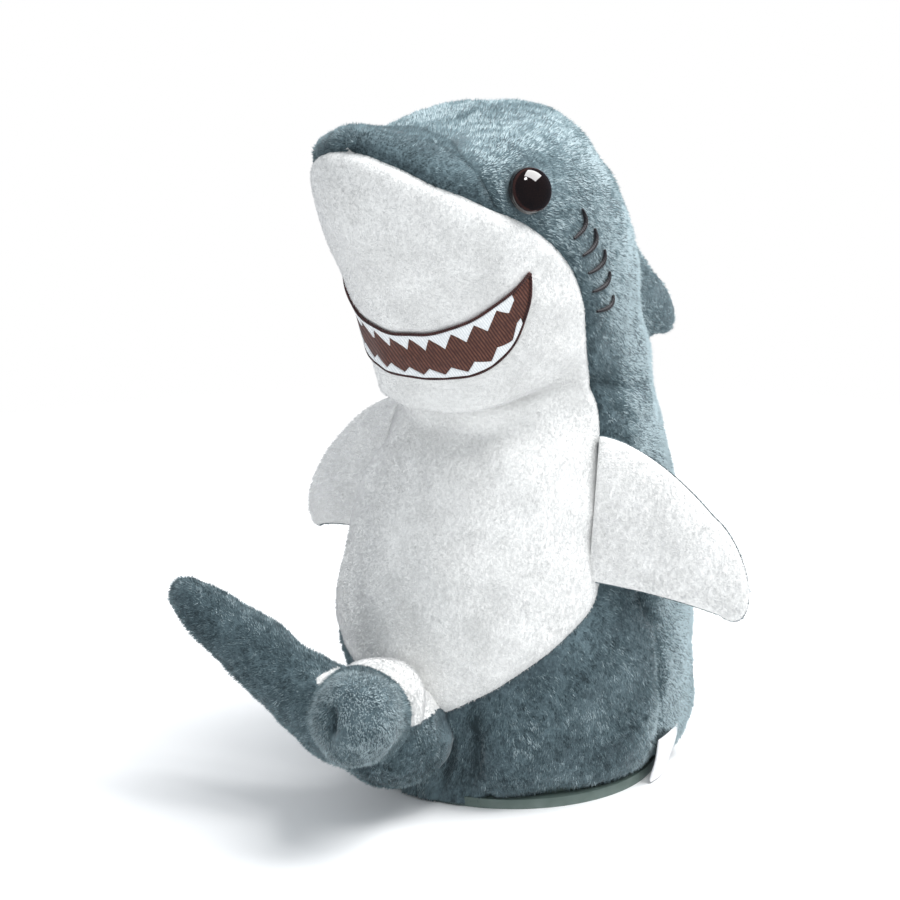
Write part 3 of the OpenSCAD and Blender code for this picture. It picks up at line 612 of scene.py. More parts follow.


# The cloth under the pile is a little darker than its tufts: painted shade in the gaps between them.
grey_cloth = cloth("grey pile cloth", swatch(96, 114, 120), swatch(60, 74, 80), Sheen_Weight=0.25)
white_cloth = cloth("white pile cloth", swatch(240, 240, 238), swatch(214, 214, 212), Sheen_Weight=0.2)
lining_cloth = cloth("lining", swatch(150, 158, 160), swatch(110, 118, 122), tuft=2200.0)
wadding = cloth("wadding", swatch(242, 240, 232), swatch(212, 208, 196), patch=60.0, tuft=500.0, bump=1.0)
cone_paper = cloth("speaker paper", swatch(120, 112, 100), swatch(84, 78, 70), tuft=1800.0, bump=0.3)
FINISHES = {
    "base_plastic": plastic("base plastic", swatch(86, 102, 96), swatch(140, 152, 146), 0.42),
    "black_plastic": plastic("black plastic", swatch(24, 24, 26), swatch(70, 70, 74), 0.35),
    "natural_plastic": plastic("natural plastic", swatch(226, 224, 214), swatch(244, 242, 236), 0.45),
    "board_green": plastic("board resist", swatch(24, 92, 50), swatch(150, 140, 90), 0.22),
    "cell_wrap": plastic("cell wrapper", swatch(172, 175, 179), swatch(206, 208, 210), 0.25),
    "screw_steel": metal("screw steel", swatch(186, 188, 192), swatch(120, 120, 122)),
    "contact_metal": metal("contact metal", swatch(206, 200, 182), swatch(150, 140, 118)),
    "motor_can": metal("motor can", swatch(170, 172, 176), swatch(110, 110, 112), 500.0),
    "pinion_brass": metal("pinion brass", swatch(206, 168, 84), swatch(130, 100, 48)),
    "cone_paper": cone_paper,
    "lining": lining_cloth,
    "stuffing": wadding,
    "grey_pile": grey_cloth,
    "white_pile": white_cloth,
    "thread_dark": thread("gill thread", swatch(34, 29, 36), swatch(14, 11, 15)),
    "thread_brown": thread("mouth thread", swatch(124, 74, 56), swatch(72, 36, 28), 500.0),
    "thread_dark_brown": thread("lip thread", swatch(96, 48, 42), swatch(40, 14, 14)),
    "thread_white": thread("tooth thread", swatch(250, 252, 253), swatch(222, 226, 228), 600.0),
    "label_satin": thread("label satin", swatch(246, 246, 246), swatch(226, 226, 228), 1600.0),
}
print("finishes:", len(FINISHES))

# %% [markdown]
# Plush could be drawn with bump alone, or grown as particle hair. Bump leaves a hard outline, and
# particle hair isn't a mesh that can be kept. So each tuft is a thin closed spike of four points.
# Tufts are scattered evenly by area, sunk a little into the cloth, leaned along the nap from nose
# to tail, and gathered into small clumps. Their shading follows the cloth under them, which keeps
# the pile soft. Each tuft takes one of a few plain tones of its dye, so the colour varies with the
# clumps, and a tone shift laid over the body moves it lighter or darker: painted light and shade.

# %% Tones of the pile
STEPS = [-0.85, 0.05, 0.95, 1.75]


def tuft_tones(name, swatches, sheen, tint):
    return [new_finish(f"{name} {i + 1}", Base_Color=swatch(*tone), Roughness=0.9, Specular_IOR_Level=0.2,
                       Sheen_Weight=sheen, Sheen_Roughness=0.5, Sheen_Tint=tint)[0]
            for i, tone in enumerate(swatches)]


GREY_TONES = tuft_tones("grey tuft", [(54, 67, 72), (78, 95, 101), (106, 125, 131), (143, 160, 165),
                                      (178, 194, 199)], 0.35, swatch(200, 225, 232))
WHITE_TONES = tuft_tones("white tuft", [(236, 236, 235), (242, 242, 241), (246, 246, 246), (250, 250, 250)],
                         0.2, swatch(255, 255, 255))


# %% Scatter the tufts and raise them
TUFT_SUNK, LOWEST_TIP = 0.35, 0.15
SPIKE_FACES = np.array([[0, 1, 3], [1, 2, 3], [2, 0, 3], [0, 2, 1]])


def patch(points, faces, out, nap, keep, tones, brushed=0.0):
    """Cloth that carries pile. keep is its length, 0 for none; brushed shifts its tufts' tones lighter or darker:
    painted light and shade.
    """
    tris = faces if faces.shape[1] == 3 else np.concatenate([faces[:, [0, 1, 2]], faces[:, [0, 2, 3]]])
    return {"points": points, "tris": tris, "out": out, "nap": nap, "keep": keep, "tones": tones,
            "brushed": np.broadcast_to(brushed, len(points))}


def scatter(cloth_patch, per_mm2, rng):
    """Roots, outward directions, nap directions and lengths of tufts spread evenly by area."""
    p, tris = cloth_patch["points"], cloth_patch["tris"]
    a, b, c = (p[tris[:, k]] for k in (0, 1, 2))
    area = np.linalg.norm(np.cross(b - a, c - a), axis=1) / 2
    count = int(area.sum() * per_mm2)
    chosen = rng.choice(len(tris), count, p=area / area.sum())
    r, s = np.sqrt(rng.random(count)), rng.random(count)
    weight = np.stack([1 - r, r * (1 - s), r * s], 1)
    spread = [np.einsum("ij,ijk->ik", weight, cloth_patch[key].reshape(len(p), -1)[tris[chosen]])
              for key in ("points", "out", "nap", "keep", "brushed")]
    kept = spread[3][:, 0] > 0.3
    return [x[kept] for x in spread]


def grow_pile(name, patches, seed, length, width, per_mm2=3.2, lean=54):
    """A piece made of closed tufts, four points and four faces each. White pile lies more evenly."""
    rng = np.random.default_rng(seed)
    materials = list(dict.fromkeys(m for q in patches for m in q["tones"]))
    all_points, all_normals, all_tones = [], [], []
    for q in patches:
        root, out, nap, keep, brushed = scatter(q, per_mm2, rng)
        loose = 0.35 if q["tones"] is WHITE_TONES else 1.0
        n = len(root)
        out = unit(out)
        swirl = (0.3 * lumps(root, 14, seed + 5) + 0.14 * lumps(root, 3.5, seed + 6))[:, None]
        nap = unit(nap - out * np.einsum("ij,ij->i", nap, out)[:, None])
        nap = nap * np.cos(loose * swirl) + np.cross(out, nap) * np.sin(loose * swirl)
        tilt = np.radians(lean + loose * (12 * lumps(root, 7, seed + 7) + rng.normal(0, 8, n)))[:, None]
        clump = np.stack([lumps(root, 1.5, seed + k) for k in (1, 2, 3)], 1)
        way = unit(out * np.cos(tilt) + nap * np.sin(tilt) + 0.16 * loose * clump + rng.normal(0, 0.09, (n, 3)))
        tall = (length * keep[:, 0] * rng.uniform(0.72, 1.2, n))[:, None]
        side = unit(np.cross(way, out + 0.01))
        other = np.cross(way, side)
        spin = rng.uniform(0, math.tau, n)
        half = (width / 2 * rng.uniform(0.8, 1.25, n))[:, None]
        foot = root - out * TUFT_SUNK
        corners, lights = [], []
        for k in range(3):
            turn = (spin + k * math.tau / 3)[:, None]
            radial = side * np.cos(turn) + other * np.sin(turn)
            corners.append(foot + radial * half)
            lights.append(unit(out + 0.45 * radial))
        corners.append(root + way * tall)
        lights.append(unit(out + 0.35 * way + rng.normal(0, 0.1 * loose, (n, 3))))
        all_points.append(np.stack(corners, 1).reshape(-1, 3))
        all_normals.append(np.stack(lights, 1).reshape(-1, 3))
        # A random tone over the clumps, plus the tone shift that the cloth carries: painted light and shade.
        shade = (0.55 * lumps(root, 1.7, seed + 8) + 0.4 * lumps(root, 9, seed + 9) + rng.normal(0, 0.55, n)
                 + brushed[:, 0])
        first = materials.index(q["tones"][0])
        all_tones.append(first + np.digitize(shade, STEPS[:len(q["tones"]) - 1]))
    points, normals = np.concatenate(all_points), np.concatenate(all_normals)
    points[:, 2] = np.maximum(points[:, 2], LOWEST_TIP)
    tones = np.concatenate(all_tones)
    faces = (np.arange(len(tones)) * 4)[:, None, None] + SPIKE_FACES
    piece = add_piece(name, points, faces.reshape(-1, 3), *materials, pick=np.repeat(tones, 4))
    piece.data.normals_split_custom_set_from_vertices(normals)
    print(name, "tufts:", len(tones))
    return piece


# %% [markdown]
# The mouth is a long crescent that is embroidered on the white front: a brown field, a row of
# white teeth above and below, and a thin dark lip line round it. The lips are two curves, given as
# the ring that each reaches at an angle, so the same curves place the field, the teeth and the lip
# line, and keep the pile out of the mouth.

# %% Lips, teeth and gills as curves on the body
MOUTH_HALF = 62.0
TOOTH_PITCH = 10.0


def lip_low(a):
    return 9.25 + 1.68 * (np.abs(a) / MOUTH_HALF) ** 4.6


def lip_top(a):
    return 10.22 + 0.74 * (np.abs(a) / MOUTH_HALF) ** 1.9


def bite(a, start, peak, low, high):
    """How far a row of teeth reaches over the mouth, as a share of its height: a leaning zigzag."""
    phase = ((a - start) / TOOTH_PITCH) % 1
    rise = np.where(phase < peak, phase / peak, (1 - phase) / (1 - peak))
    return low + (high - low) * rise


def gill_line(i, steps=60):
    """The bowed line of gill i of five, behind the left eye."""
    u = np.linspace(0, 1, steps)
    bow = np.sin(math.pi * u)
    top_t, top_a = 11.3 - 0.48 * i, 97 - 0.6 * i
    low_t, low_a = 11 - 0.4 * i, 85 - 0.5 * i
    return top_t + (low_t - top_t) * u - 0.12 * bow, top_a + (low_a - top_a) * u + 2.2 * bow


gill_points = np.concatenate([body_at(*gill_line(i)) for i in range(5)])


def pile_length(t, a, plain):
    """The pile's length as a share of full: none on the mouth and eyes, short beside them."""
    keep = np.ones(len(plain))
    inside = (np.abs(a) < MOUTH_HALF) & (t > lip_low(a) - 0.03) & (t < lip_top(a) + 0.03)
    beside = (np.abs(a) < MOUTH_HALF + 3) & (t > lip_low(a) - 0.12) & (t < lip_top(a) + 0.25)
    keep[beside] = 0.6
    keep[inside] = 0
    for side in (1, -1):
        flat = plain * np.array([side, 1, 1])
        from_eye = np.linalg.norm(flat - eye_spot, axis=1)
        keep = np.minimum(keep, np.where(from_eye < EYE_R + 0.2, 0, np.clip((from_eye - EYE_R) / 3 + 0.4, 0, 1)))
        near = np.linalg.norm(flat - gill_points.mean(0), axis=1) < 40
        for k in np.flatnonzero(near):
            if np.min(np.sum((gill_points - flat[k]) ** 2, axis=1)) < 0.6**2:
                keep[k] = min(keep[k], 0.45)
    return keep


print("mouth height at the middle, rings:", round(float(lip_top(0) - lip_low(0)), 2))

# %% [markdown]
# The four panels of the body are cut from one skin. Each is a grid over its own part of the loft,
# raised by the same relief, so two panels meet along their seam. The bottom of the cover stays with
# the base and the rest nods with the body; here the panels that cross the waist are fixed to
# neither body, and only the snout cap rides on the upper body. Each carries a long pile and a
# shorter one that fills it.

# %% Attach each piece and hide what it covers
WAIST = ("base", "upper", (0, 0.003, 0.038), (0, 0.003, 0.066))


def settle(pieces, hidden, on):
    """Attaches pieces to the body that they ride on. Where on names two bodies and a bend, the pieces
    only have their transform applied and stay unattached. Hides the frame parts that they cover."""
    for piece in pieces:
        if isinstance(on, str):
            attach(piece, on)
        else:
            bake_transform(piece)
    if hidden:
        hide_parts(*hidden)


# %% Cut and dress a body panel
CLOTH = 1.0
HEM_DROP, HEM_RINGS, HEM_FLOOR = 2.5, 0.6, 0.7
COARSE = 1
WHITE = (white_cloth, WHITE_TONES, "white_pile")
GREY = (grey_cloth, GREY_TONES, "grey_pile")


def body_panel(name, t, a, dye, hidden, on, seed, length, width, brushed=0.0):
    """A closed cloth panel over a grid of rings t and angles a, with its long and its short pile."""
    material, tones, slot = dye
    out, plain = out_of_body(t, a), body_at(t, a)
    top = plain + out * relief(t, a)[..., None]
    top[..., 2] -= HEM_DROP * np.clip(1 - t / HEM_RINGS, 0, 1) * np.clip((62 - a) / 50, 0.1, 1)
    top[..., 2] = np.maximum(top[..., 2], HEM_FLOOR)
    cover = add_piece(name, *thick_plate(top, top - out * CLOTH), material)
    nap = unit(body_at(np.maximum(t - 0.03, 0), a) - body_at(np.maximum(t - 0.03, 0) + 0.03, a))
    plain = plain.reshape(-1, 3)
    keep = pile_length(t.ravel(), a.ravel(), plain)
    # Tufts in seams and folds take darker tones: painted shade in the creases.
    brushed = np.broadcast_to(brushed, t.shape).ravel() - 0.8 * np.clip(creases(plain), 0, 3)
    cloth_patch = patch(top.reshape(-1, 3), grid_quads(t.shape[0] - 1, t.shape[1] - 1), out.reshape(-1, 3),
                        nap.reshape(-1, 3), keep, tones, brushed)
    piles = [grow_pile(name.replace("cover", "pile") + ending, [cloth_patch], seed + more,
                       length=share * length, width=width)
             for ending, more, share in (("", 0, 1), ("_short", 100, 0.75))]
    settle([cover, *piles], hidden, on)
    return cover


def grid(nu, nv):
    """Two shares from 0 to 1 over a grid of nu by nv cells."""
    return np.meshgrid(np.linspace(0, 1, nu // COARSE + 1), np.linspace(0, 1, nv // COARSE + 1), indexing="ij")


# %% White front panel
u, v = grid(300, 160)
t = WHITE_FROM + (WHITE_TO - WHITE_FROM) * (0.4 * u + 0.3 - 0.3 * np.cos(math.pi * u))
front_angle = -white_edge(t, -1) * (1 - v) + white_edge(t) * v
front_cover = body_panel("front_cover", t, front_angle, WHITE, ["front_skin", "belly_low"], WAIST,
                         11, 0.75, 0.28)

# %% Grey back panels, left and right
def back_painted_light_and_shade(t, a):
    """Where the grey pile lies so that it looks paler or darker, as painted light and shade: lighter on
    the head and on the lit flank, darker low at the front, behind the eye and at the back of the head.
    """
    def ease(x):
        return np.clip(x, 0, 1)
    # Painted light on the head and the lit flank, painted shade low at the front and behind the eye.
    head = 1.35 * ease((t - 8) / 2.5) - 0.75 * ease((a - 138) / 25) * ease((t - 9) / 2)
    flank = 3.0 * ease((a - 84) / 16) * ease((10.6 - t) / 2)
    low_front = 0.6 * ease((40 - a) / 20) * ease((3 - t) / 1.5)
    by_eye = 1.9 * np.exp(-((t - 12.5) / 0.45) ** 2 - ((a - 107) / 10) ** 2)
    return head + flank - low_front - by_eye


u, v = grid(250, 150)
t = brow_ring(v) * u
for side, sign, hidden in (("left", 1, ("back_left", "skirt_left", "skirt_back")),
                           ("right", -1, ("back_right", "skirt_right"))):
    back_angle = white_edge(t, sign) * (1 - v) + 180 * v
    # The grey back's tufts are shifted by painted light and shade.
    body_panel(f"back_cover_{side}", t, sign * back_angle, GREY, hidden, WAIST, 21 + sign, 1.3, 0.3,
               back_painted_light_and_shade(t, back_angle))

# %% Snout cap
u, v = grid(150, 240)
cap_from = brow_ring(1 - np.abs(2 * v - 1))
t = cap_from + (LAST - cap_from) * u
cap_edge = white_edge(t)
# The snout cap's tufts are shifted darker, -0.7: painted shade of its nap.
body_panel("snout_cover", t, cap_edge + (360 - 2 * cap_edge) * v, GREY, ["snout_top"], "upper",
           31, 1.05, 0.3, -0.7)

# %% [markdown]
# Embroidery is thread on top of the cloth, so it is real relief here: the field is a raised patch
# whose surface runs in thread-wide ridges, the teeth are bands with a zigzag edge, and the lip
# line and gills are satin cords with slanting ribs.

# %% Mouth field and teeth
def stitched_patch(a, top, low, rows, floor, height, ridge, across):
    """A raised patch between two lines of rings over the angles a, with ridges of thread."""
    v = np.linspace(0, 1, rows + 1)
    angle = np.broadcast_to(a[:, None], (len(a), rows + 1))
    t = top[:, None] + (low - top)[:, None] * v
    plain = body_at(t, angle)
    out = out_of_body(t, angle)
    under = plain + out * (relief(t, angle) + floor)[..., None]
    along = np.linalg.norm(np.diff(plain, axis=1 if across else 0), axis=-1)
    run = np.zeros(t.shape)
    if across:
        run[:, 1:] = np.cumsum(along, 1)
    else:
        run[1:] = np.cumsum(along, 0)
    wave = 0.5 + 0.5 * np.cos(run * math.tau / ridge)
    crown = np.minimum(1, np.minimum(v, 1 - v) * 7 + 0.35)
    return thick_plate(under + out * (height * crown * (0.86 + 0.14 * wave))[..., None], under)


a = np.linspace(-MOUTH_HALF + 0.6, MOUTH_HALF - 0.6, 340 // COARSE)
field = stitched_patch(a, lip_top(a) - 0.01, lip_low(a) + 0.01, 96 // COARSE, 0.1, 0.45, 0.42, True)
a = np.linspace(-53, 52, 900 // COARSE)
mouth_height = lip_top(a) - lip_low(a)
lean = 0.78 - 0.38 * np.clip((a + 5) / 45, 0, 1)
top_tips = lip_top(a) - mouth_height * bite(a, -55.5, lean, 0.11, 0.38)
low_tips = lip_low(a) + mouth_height * bite(a, -53.5, 0.36, 0.085, 0.23)
upper = stitched_patch(a, lip_top(a) - 0.02, top_tips, 10, 0.45, 0.42, 0.40, False)
lower = stitched_patch(a, low_tips, lip_low(a) + 0.02, 10, 0.45, 0.42, 0.40, False)
for name, made, hidden, slot in (("mouth_stitching", field, "mouth_field", "thread_brown"),
                                 ("upper_teeth", upper, "teeth_upper", "thread_white"),
                                 ("lower_teeth", lower, "teeth_lower", "thread_white")):
    settle([add_piece(name, *made, FINISHES[slot])], [hidden], "upper")

# %% Lip line and gills
lip_a = np.concatenate([np.linspace(-MOUTH_HALF, MOUTH_HALF, 620 // COARSE, endpoint=False),
                        np.linspace(MOUTH_HALF, -MOUTH_HALF, 620 // COARSE, endpoint=False)])
lip_t = np.where(np.arange(len(lip_a)) < len(lip_a) // 2, lip_top(lip_a), lip_low(lip_a))
lip_path = skin_at(lip_t, lip_a, 0.62)
lip_line = add_piece("lip_line", *tube(lip_path, 0.38, 10, 0.16, 0.55, 2, closed=True),
                     FINISHES["thread_dark_brown"])
settle([lip_line], ["mouth_outline"], "upper")

gill_parts = []
for side in (1, -1):
    for i in range(5):
        path = skin_at(*gill_line(i, 70), 0.75) * np.array([side, 1, 1])
        swell = 0.24 + 0.38 * np.sin(math.pi * np.linspace(0.04, 0.96, 70)) ** 0.8
        gill_parts.append(tube(path, swell, 10, 0.1, 0.6, 2))
gills = add_piece("gill_cords", *joined(gill_parts), FINISHES["thread_dark"])
settle([gills], ["gill_stitches"], "upper")
print("lip line length, mm:", round(float(np.linalg.norm(np.diff(lip_path, axis=0), axis=1).sum())))

# %% [markdown]
# A safety eye is a moulded dome on a shank that snaps into a washer inside the head. The dome is
# nearly black with a brown ring near its edge, under clear gloss. It is turned on a profile, like
# the mould that made it: a narrow rim, a shoulder, and a cap that flattens towards the middle.

# %% Safety eyes
def turned(profile, sides=96):
    """Points and squares of a profile of (radius, height) turned about the height axis."""
    angle = np.linspace(0, math.tau, sides, endpoint=False)
    r, z = np.asarray(profile, float).T
    points = np.stack([r[:, None] * np.cos(angle), r[:, None] * np.sin(angle),
                       np.broadcast_to(z[:, None], (len(z), sides))], -1).reshape(-1, 3)
    return points, np.concatenate([ring_quads(len(z), sides), end_cap(sides)[:, ::-1],
                                   end_cap(sides, (len(z) - 1) * sides)])


def eye_axes():
    """The directions across, up and out at the left eye, as the frame's eye solid is turned."""
    yaw, tip = math.radians(-24), math.radians(74)
    tipped = np.array([[math.cos(tip), 0, math.sin(tip)], [0, 1, 0], [-math.sin(tip), 0, math.cos(tip)]])
    turn = np.array([[math.cos(yaw), -math.sin(yaw), 0], [math.sin(yaw), math.cos(yaw), 0], [0, 0, 1]])
    return turn @ tipped


dome = [(EYE_R * math.sin(k), 0.9 + 3.3 * math.cos(k)) for k in np.radians(np.linspace(90, 1.5, 26))]
eye_profile = [(2.2, -3.5), (2.2, 0.2), (EYE_R - 0.5, 0.2), (EYE_R + 0.1, 0.35), (EYE_R + 0.22, 0.62)] + dome
eye_points, eye_faces = turned(eye_profile)
if is_inside_out(eye_points, eye_faces):
    eye_faces = eye_faces[:, ::-1]
from_axis = np.linalg.norm(eye_points[eye_faces].mean(1)[:, :2], axis=1)
height = eye_points[eye_faces].mean(1)[:, 2]
ring_of_iris = (from_axis > EYE_R * 0.88) & (from_axis < EYE_R * 0.955) & (height > 0.9)


def gloss(name, deep, pale):
    """Clear gloss over a colour that is streaked a little, as moulded resin is."""
    material, tree, shader = new_finish(name, Roughness=0.05, Coat_Weight=1.0, Coat_Roughness=0.03)
    feed(tree, shader.inputs, Base_Color=mixed(tree, noise(tree, 420.0, 3.0), deep, pale))
    return material


FINISHES["eye_gloss"] = gloss("eye gloss", swatch(9, 5, 4), swatch(24, 13, 10))
iris = gloss("eye ring", swatch(30, 16, 13), swatch(62, 38, 33))
for side, sign in (("left", 1), ("right", -1)):
    placed = (eye_points @ eye_axes().T + eye_spot) * np.array([sign, 1, 1])
    faces = eye_faces if sign > 0 else eye_faces[:, ::-1]
    eye = add_piece(f"{side}_eye_dome", placed, faces, FINISHES["eye_gloss"], iris, pick=ring_of_iris.astype(int))
    settle([eye], [f"eye_{side}"], "upper")

# %% [markdown]
# A fin is two panels sewn face to face, turned and lightly stuffed: white towards the front and
# grey behind. It bulges in the middle and its edge puckers between stitches. Cloth simulation would
# puff such a shape too, but the fin is small and its outline must stay, so the bulge is a formula.
# The root is sunk into the body's skin.

# %% Shape of the fins
def bend_out(down, lean):
    """The direction out of a fin, square to its root and leaning to its tip."""
    return unit(lean - down * (lean @ down))


def hand_fin(side):
    down = unit(np.array([7.0 * side, -6, -38]))
    root = np.array([36.4, -4.4, 96]) if side > 0 else np.array([-36.4, -5, 96])
    lean = np.array([31, 11, -44]) if side > 0 else np.array([-33, 3.5, -42])
    return {"root": root, "down": down, "out": bend_out(down, lean), "length": 31.3 if side > 0 else 28.5,
            "thick": 5.2,
            "lead": lambda b: 0.246 * np.maximum(0, b) ** 1.42, "trail": lambda b: 36.3 + 0.43 * b,
            "rear": -side, "tone": 0.0}


def back_fin():
    down = unit(np.array([0, 11.0, -44]))
    # The dorsal's tone of 0.9 shifts its tufts lighter: painted light on the top fin.
    return {"root": np.array([0, 30.4, 149]), "down": down, "out": bend_out(down, np.array([5.0, 33, -2])),
            "length": 26.0, "thick": 4.6, "lead": lambda b: 20 * (np.maximum(0, b) / 15.5) ** 1.6,
            "trail": lambda b: 48.5 + 0 * b, "rear": 0, "tone": 0.9}


def fin_face(fin, u, v, side, inner=False):
    """Points of one face. u runs out from the root, v down from the leading edge."""
    b = fin["length"] * (1 - (1 - u) ** 1.6)
    turn = 0.76 * fin["length"]
    held = np.minimum(b, turn)
    middle = (fin["lead"](held) + fin["trail"](held)) / 2 + 0.9 * (b - held)
    proud = 0.3 if side == fin["rear"] else 0.0
    rounded = np.sqrt(np.clip(1 - ((b - held) / (fin["length"] - turn)) ** 2, 0, 1))
    wide = 2 * proud + (fin["trail"](held) - fin["lead"](held)) * rounded
    along = middle + np.maximum(wide, 0.3) * (v - 0.5)
    bulge = fin["thick"] * (0.42 + 0.58 * np.minimum(1, u * 3)) * (1 - 0.55 * u) * (4 * v * (1 - v)) ** 0.55
    bulge = bulge * np.minimum(1, 6 * (1 - u)) ** 0.5
    rim = np.minimum(np.minimum(v, 1 - v) * 34, (1 - u) * 22)
    wrinkle = 0.28 * np.sin(along * math.tau / 3.1 + 9 * u) * np.exp(-rim / 2.2) * np.minimum(1, rim)
    half = 0.4 + bulge * (1 + 0.05 * np.sin(7 * u + 5 * v)) + wrinkle
    half = np.maximum(0.03, half - 1.0) if inner else half
    depth = b + proud * u - (4.5 + 4.5 * v) * (1 - u) ** 5
    normal = np.cross(fin["down"], fin["out"])
    return (fin["root"] + fin["down"] * along[..., None] + fin["out"] * depth[..., None]
            + normal * side * half[..., None])


def face_normals(points, side_hint):
    out = unit(np.cross(np.gradient(points, axis=0), np.gradient(points, axis=1)))
    return out * np.sign((out * side_hint).sum(-1).mean())


def sew_fin(name, fin, panels, hidden, seed):
    """Two panels of a fin, each a closed cloth plate, and the pile of both as one piece."""
    u, v = grid(60, 70)
    root = fin["root"] * MM
    bend = ("upper", name, root, root + fin["out"] * 9 * MM)
    rim = np.minimum(np.minimum(v, 1 - v) * 6 + 0.6, 1)
    patches, made = [], []
    for panel, side, (material, tones, slot) in panels:
        top, under = fin_face(fin, u, v, side), fin_face(fin, u, v, side, True)
        made.append(add_piece(f"{name}_{panel}", *thick_plate(top, under), material))
        out = face_normals(top, np.cross(fin["down"], fin["out"]) * side)
        nap = unit(np.gradient(top, axis=0) + 0.25 * np.gradient(top, axis=1))
        # The fin's tone shifts its tufts lighter: painted light, on the dorsal only.
        patches.append(patch(top.reshape(-1, 3), grid_quads(u.shape[0] - 1, u.shape[1] - 1), out.reshape(-1, 3),
                             nap.reshape(-1, 3), rim.ravel(), tones, fin["tone"]))
    pile = grow_pile(f"{name}_pile", patches, seed, per_mm2=5.5, length=1.0, width=0.28)
    settle(made[:1], hidden, bend)
    settle([made[1], pile], [], bend)


for name, side in (("fin_left", 1), ("fin_right", -1)):
    sew_fin(name, hand_fin(side), [("front_panel", side, WHITE), ("back_panel", -side, GREY)],
            [f"{name}_front", f"{name}_back", f"{name}_fill"], 41 + side)
sew_fin("dorsal", back_fin(), [("left_panel", 1, GREY), ("right_panel", -1, GREY)],
        ["dorsal_left", "dorsal_right"], 51)

# %% [markdown]
# The tail curls forward round the base and ends in two stuffed lobes. Three round limbs, a stalk
# and two lobes, are joined by a voxel remesh into one skin and smoothed, which leaves the soft
# valleys that stuffing makes where lobes meet. A dimple is then pressed into the near lobe.

# %% Tail
def limb(rows, steps=12, sides=32):
    """A round limb through a few (x, y, z, radius) rows."""
    rows = np.asarray(rows, float)
    path = curve_through(rows, np.linspace(0, len(rows) - 1, (len(rows) - 1) * steps + 1))
    return tube(path[:, :3], np.maximum(path[:, 3], 0.6), sides)


def melted(points, faces, voxel, rounds):
    """One smooth closed skin round several closed shapes: points, squares and outward directions."""
    raw = add_piece("melting", points, faces)
    remesh = raw.modifiers.new("remesh", "REMESH")
    remesh.mode = "VOXEL"
    remesh.voxel_size = voxel * MM
    soft = raw.modifiers.new("soft", "SMOOTH")
    soft.factor, soft.iterations = 0.5, rounds
    mesh = bpy.data.meshes.new_from_object(raw.evaluated_get(bpy.context.evaluated_depsgraph_get()))
    bpy.data.objects.remove(raw)
    found = np.zeros(len(mesh.vertices) * 3)
    mesh.vertices.foreach_get("co", found)
    out = np.zeros(len(mesh.vertices) * 3)
    mesh.vertex_normals.foreach_get("vector", out)
    quads = np.zeros(len(mesh.loops), np.int32)
    mesh.loops.foreach_get("vertex_index", quads)
    sizes = {len(p.vertices) for p in mesh.polygons}
    assert sizes == {4}, sizes
    return found.reshape(-1, 3) / MM, quads.reshape(-1, 4), out.reshape(-1, 3)


STALK = [(1, -41, 20, 12), (1, -46.8, 21, 13), (0, -51, 22, 14.2), (-2, -57, 25, 12.5)]
NEAR_LOBE = [(-1, -58, 28, 9), (1, -62.5, 30, 11.4), (7.5, -71.5, 34, 11.8), (14.5, -80.5, 37.5, 10.8),
             (18.5, -85, 39.5, 7.2), (20, -86.6, 40.3, 1.2)]
FAR_LOBE = [(-3, -57.5, 25, 10.6), (-6, -60, 26.5, 11.7), (-15, -65, 32.5, 10), (-27, -70, 41.5, 8.3),
            (-39, -74.5, 51, 6.6), (-45.5, -77, 56.5, 4.4), (-48.2, -78.2, 58.8, 1)]
COLLAR = [(0, -49, 26, 8), (1.2, -56, 30.2, 11.4), (2.8, -60.5, 32.2, 12), (4.3, -64, 33, 9)]
tail_raw = joined([limb(STALK), limb(COLLAR), limb(NEAR_LOBE), limb(FAR_LOBE)])
points, faces, out = melted(*tail_raw, 1.0, 5)
NEAR_END, COLLAR_MIDDLE = np.array([14.5, -80.5, 37.5]), np.array([2.8, -60.5, 32])
lobe_axis = unit(np.array([18.1, -24.0, 10.7]))
lobe_side = unit(np.cross([0, 0, 1], lobe_axis))
lobe_up = np.cross(lobe_axis, lobe_side)
local = points - NEAR_END
x, y = local @ lobe_side, local @ lobe_up
on_near = points[:, 1] < -66
dimple = 2.8 * np.exp(-((x + 6.8) / 1.8) ** 2 - (np.maximum(np.abs(y + 0.5) - 2.5, 0) / 2.2) ** 2)
rest = 0.35 * lumps(points, 9, 61) + 0.15 * lumps(points, 4.5, 62)
points = points + out * (rest - dimple * on_near)[:, None]
middle = points[faces].mean(1)
from_collar = middle - COLLAR_MIDDLE
from_axis = np.linalg.norm(np.cross(middle - NEAR_END, lobe_axis), axis=1)
white_top = ((from_collar @ lobe_axis < np.where(from_axis > 11.7, 8, -1)) & (middle[:, 0] > -8)
             & (from_collar @ (0.45 * lobe_side + 0.9 * lobe_up) > -1) & (middle[:, 2] > 28.5))
tail_cover = add_piece("tail_cover", points, faces, grey_cloth, white_cloth, pick=white_top.astype(int))

toward_tip = unit(np.where(points[:, :1] > -1.0, lobe_axis[None], unit(np.array([-42.0, -20, 33]))[None]))
toward_tip = toward_tip + np.array([0, 0, -0.7])
keep = np.clip((-46.5 - points[:, 1]) / 3 + 1, 0, 1)
white_points = np.zeros(len(points), bool)
white_points[faces[white_top]] = True
keep = np.where(white_points, 0.6 * keep, keep)
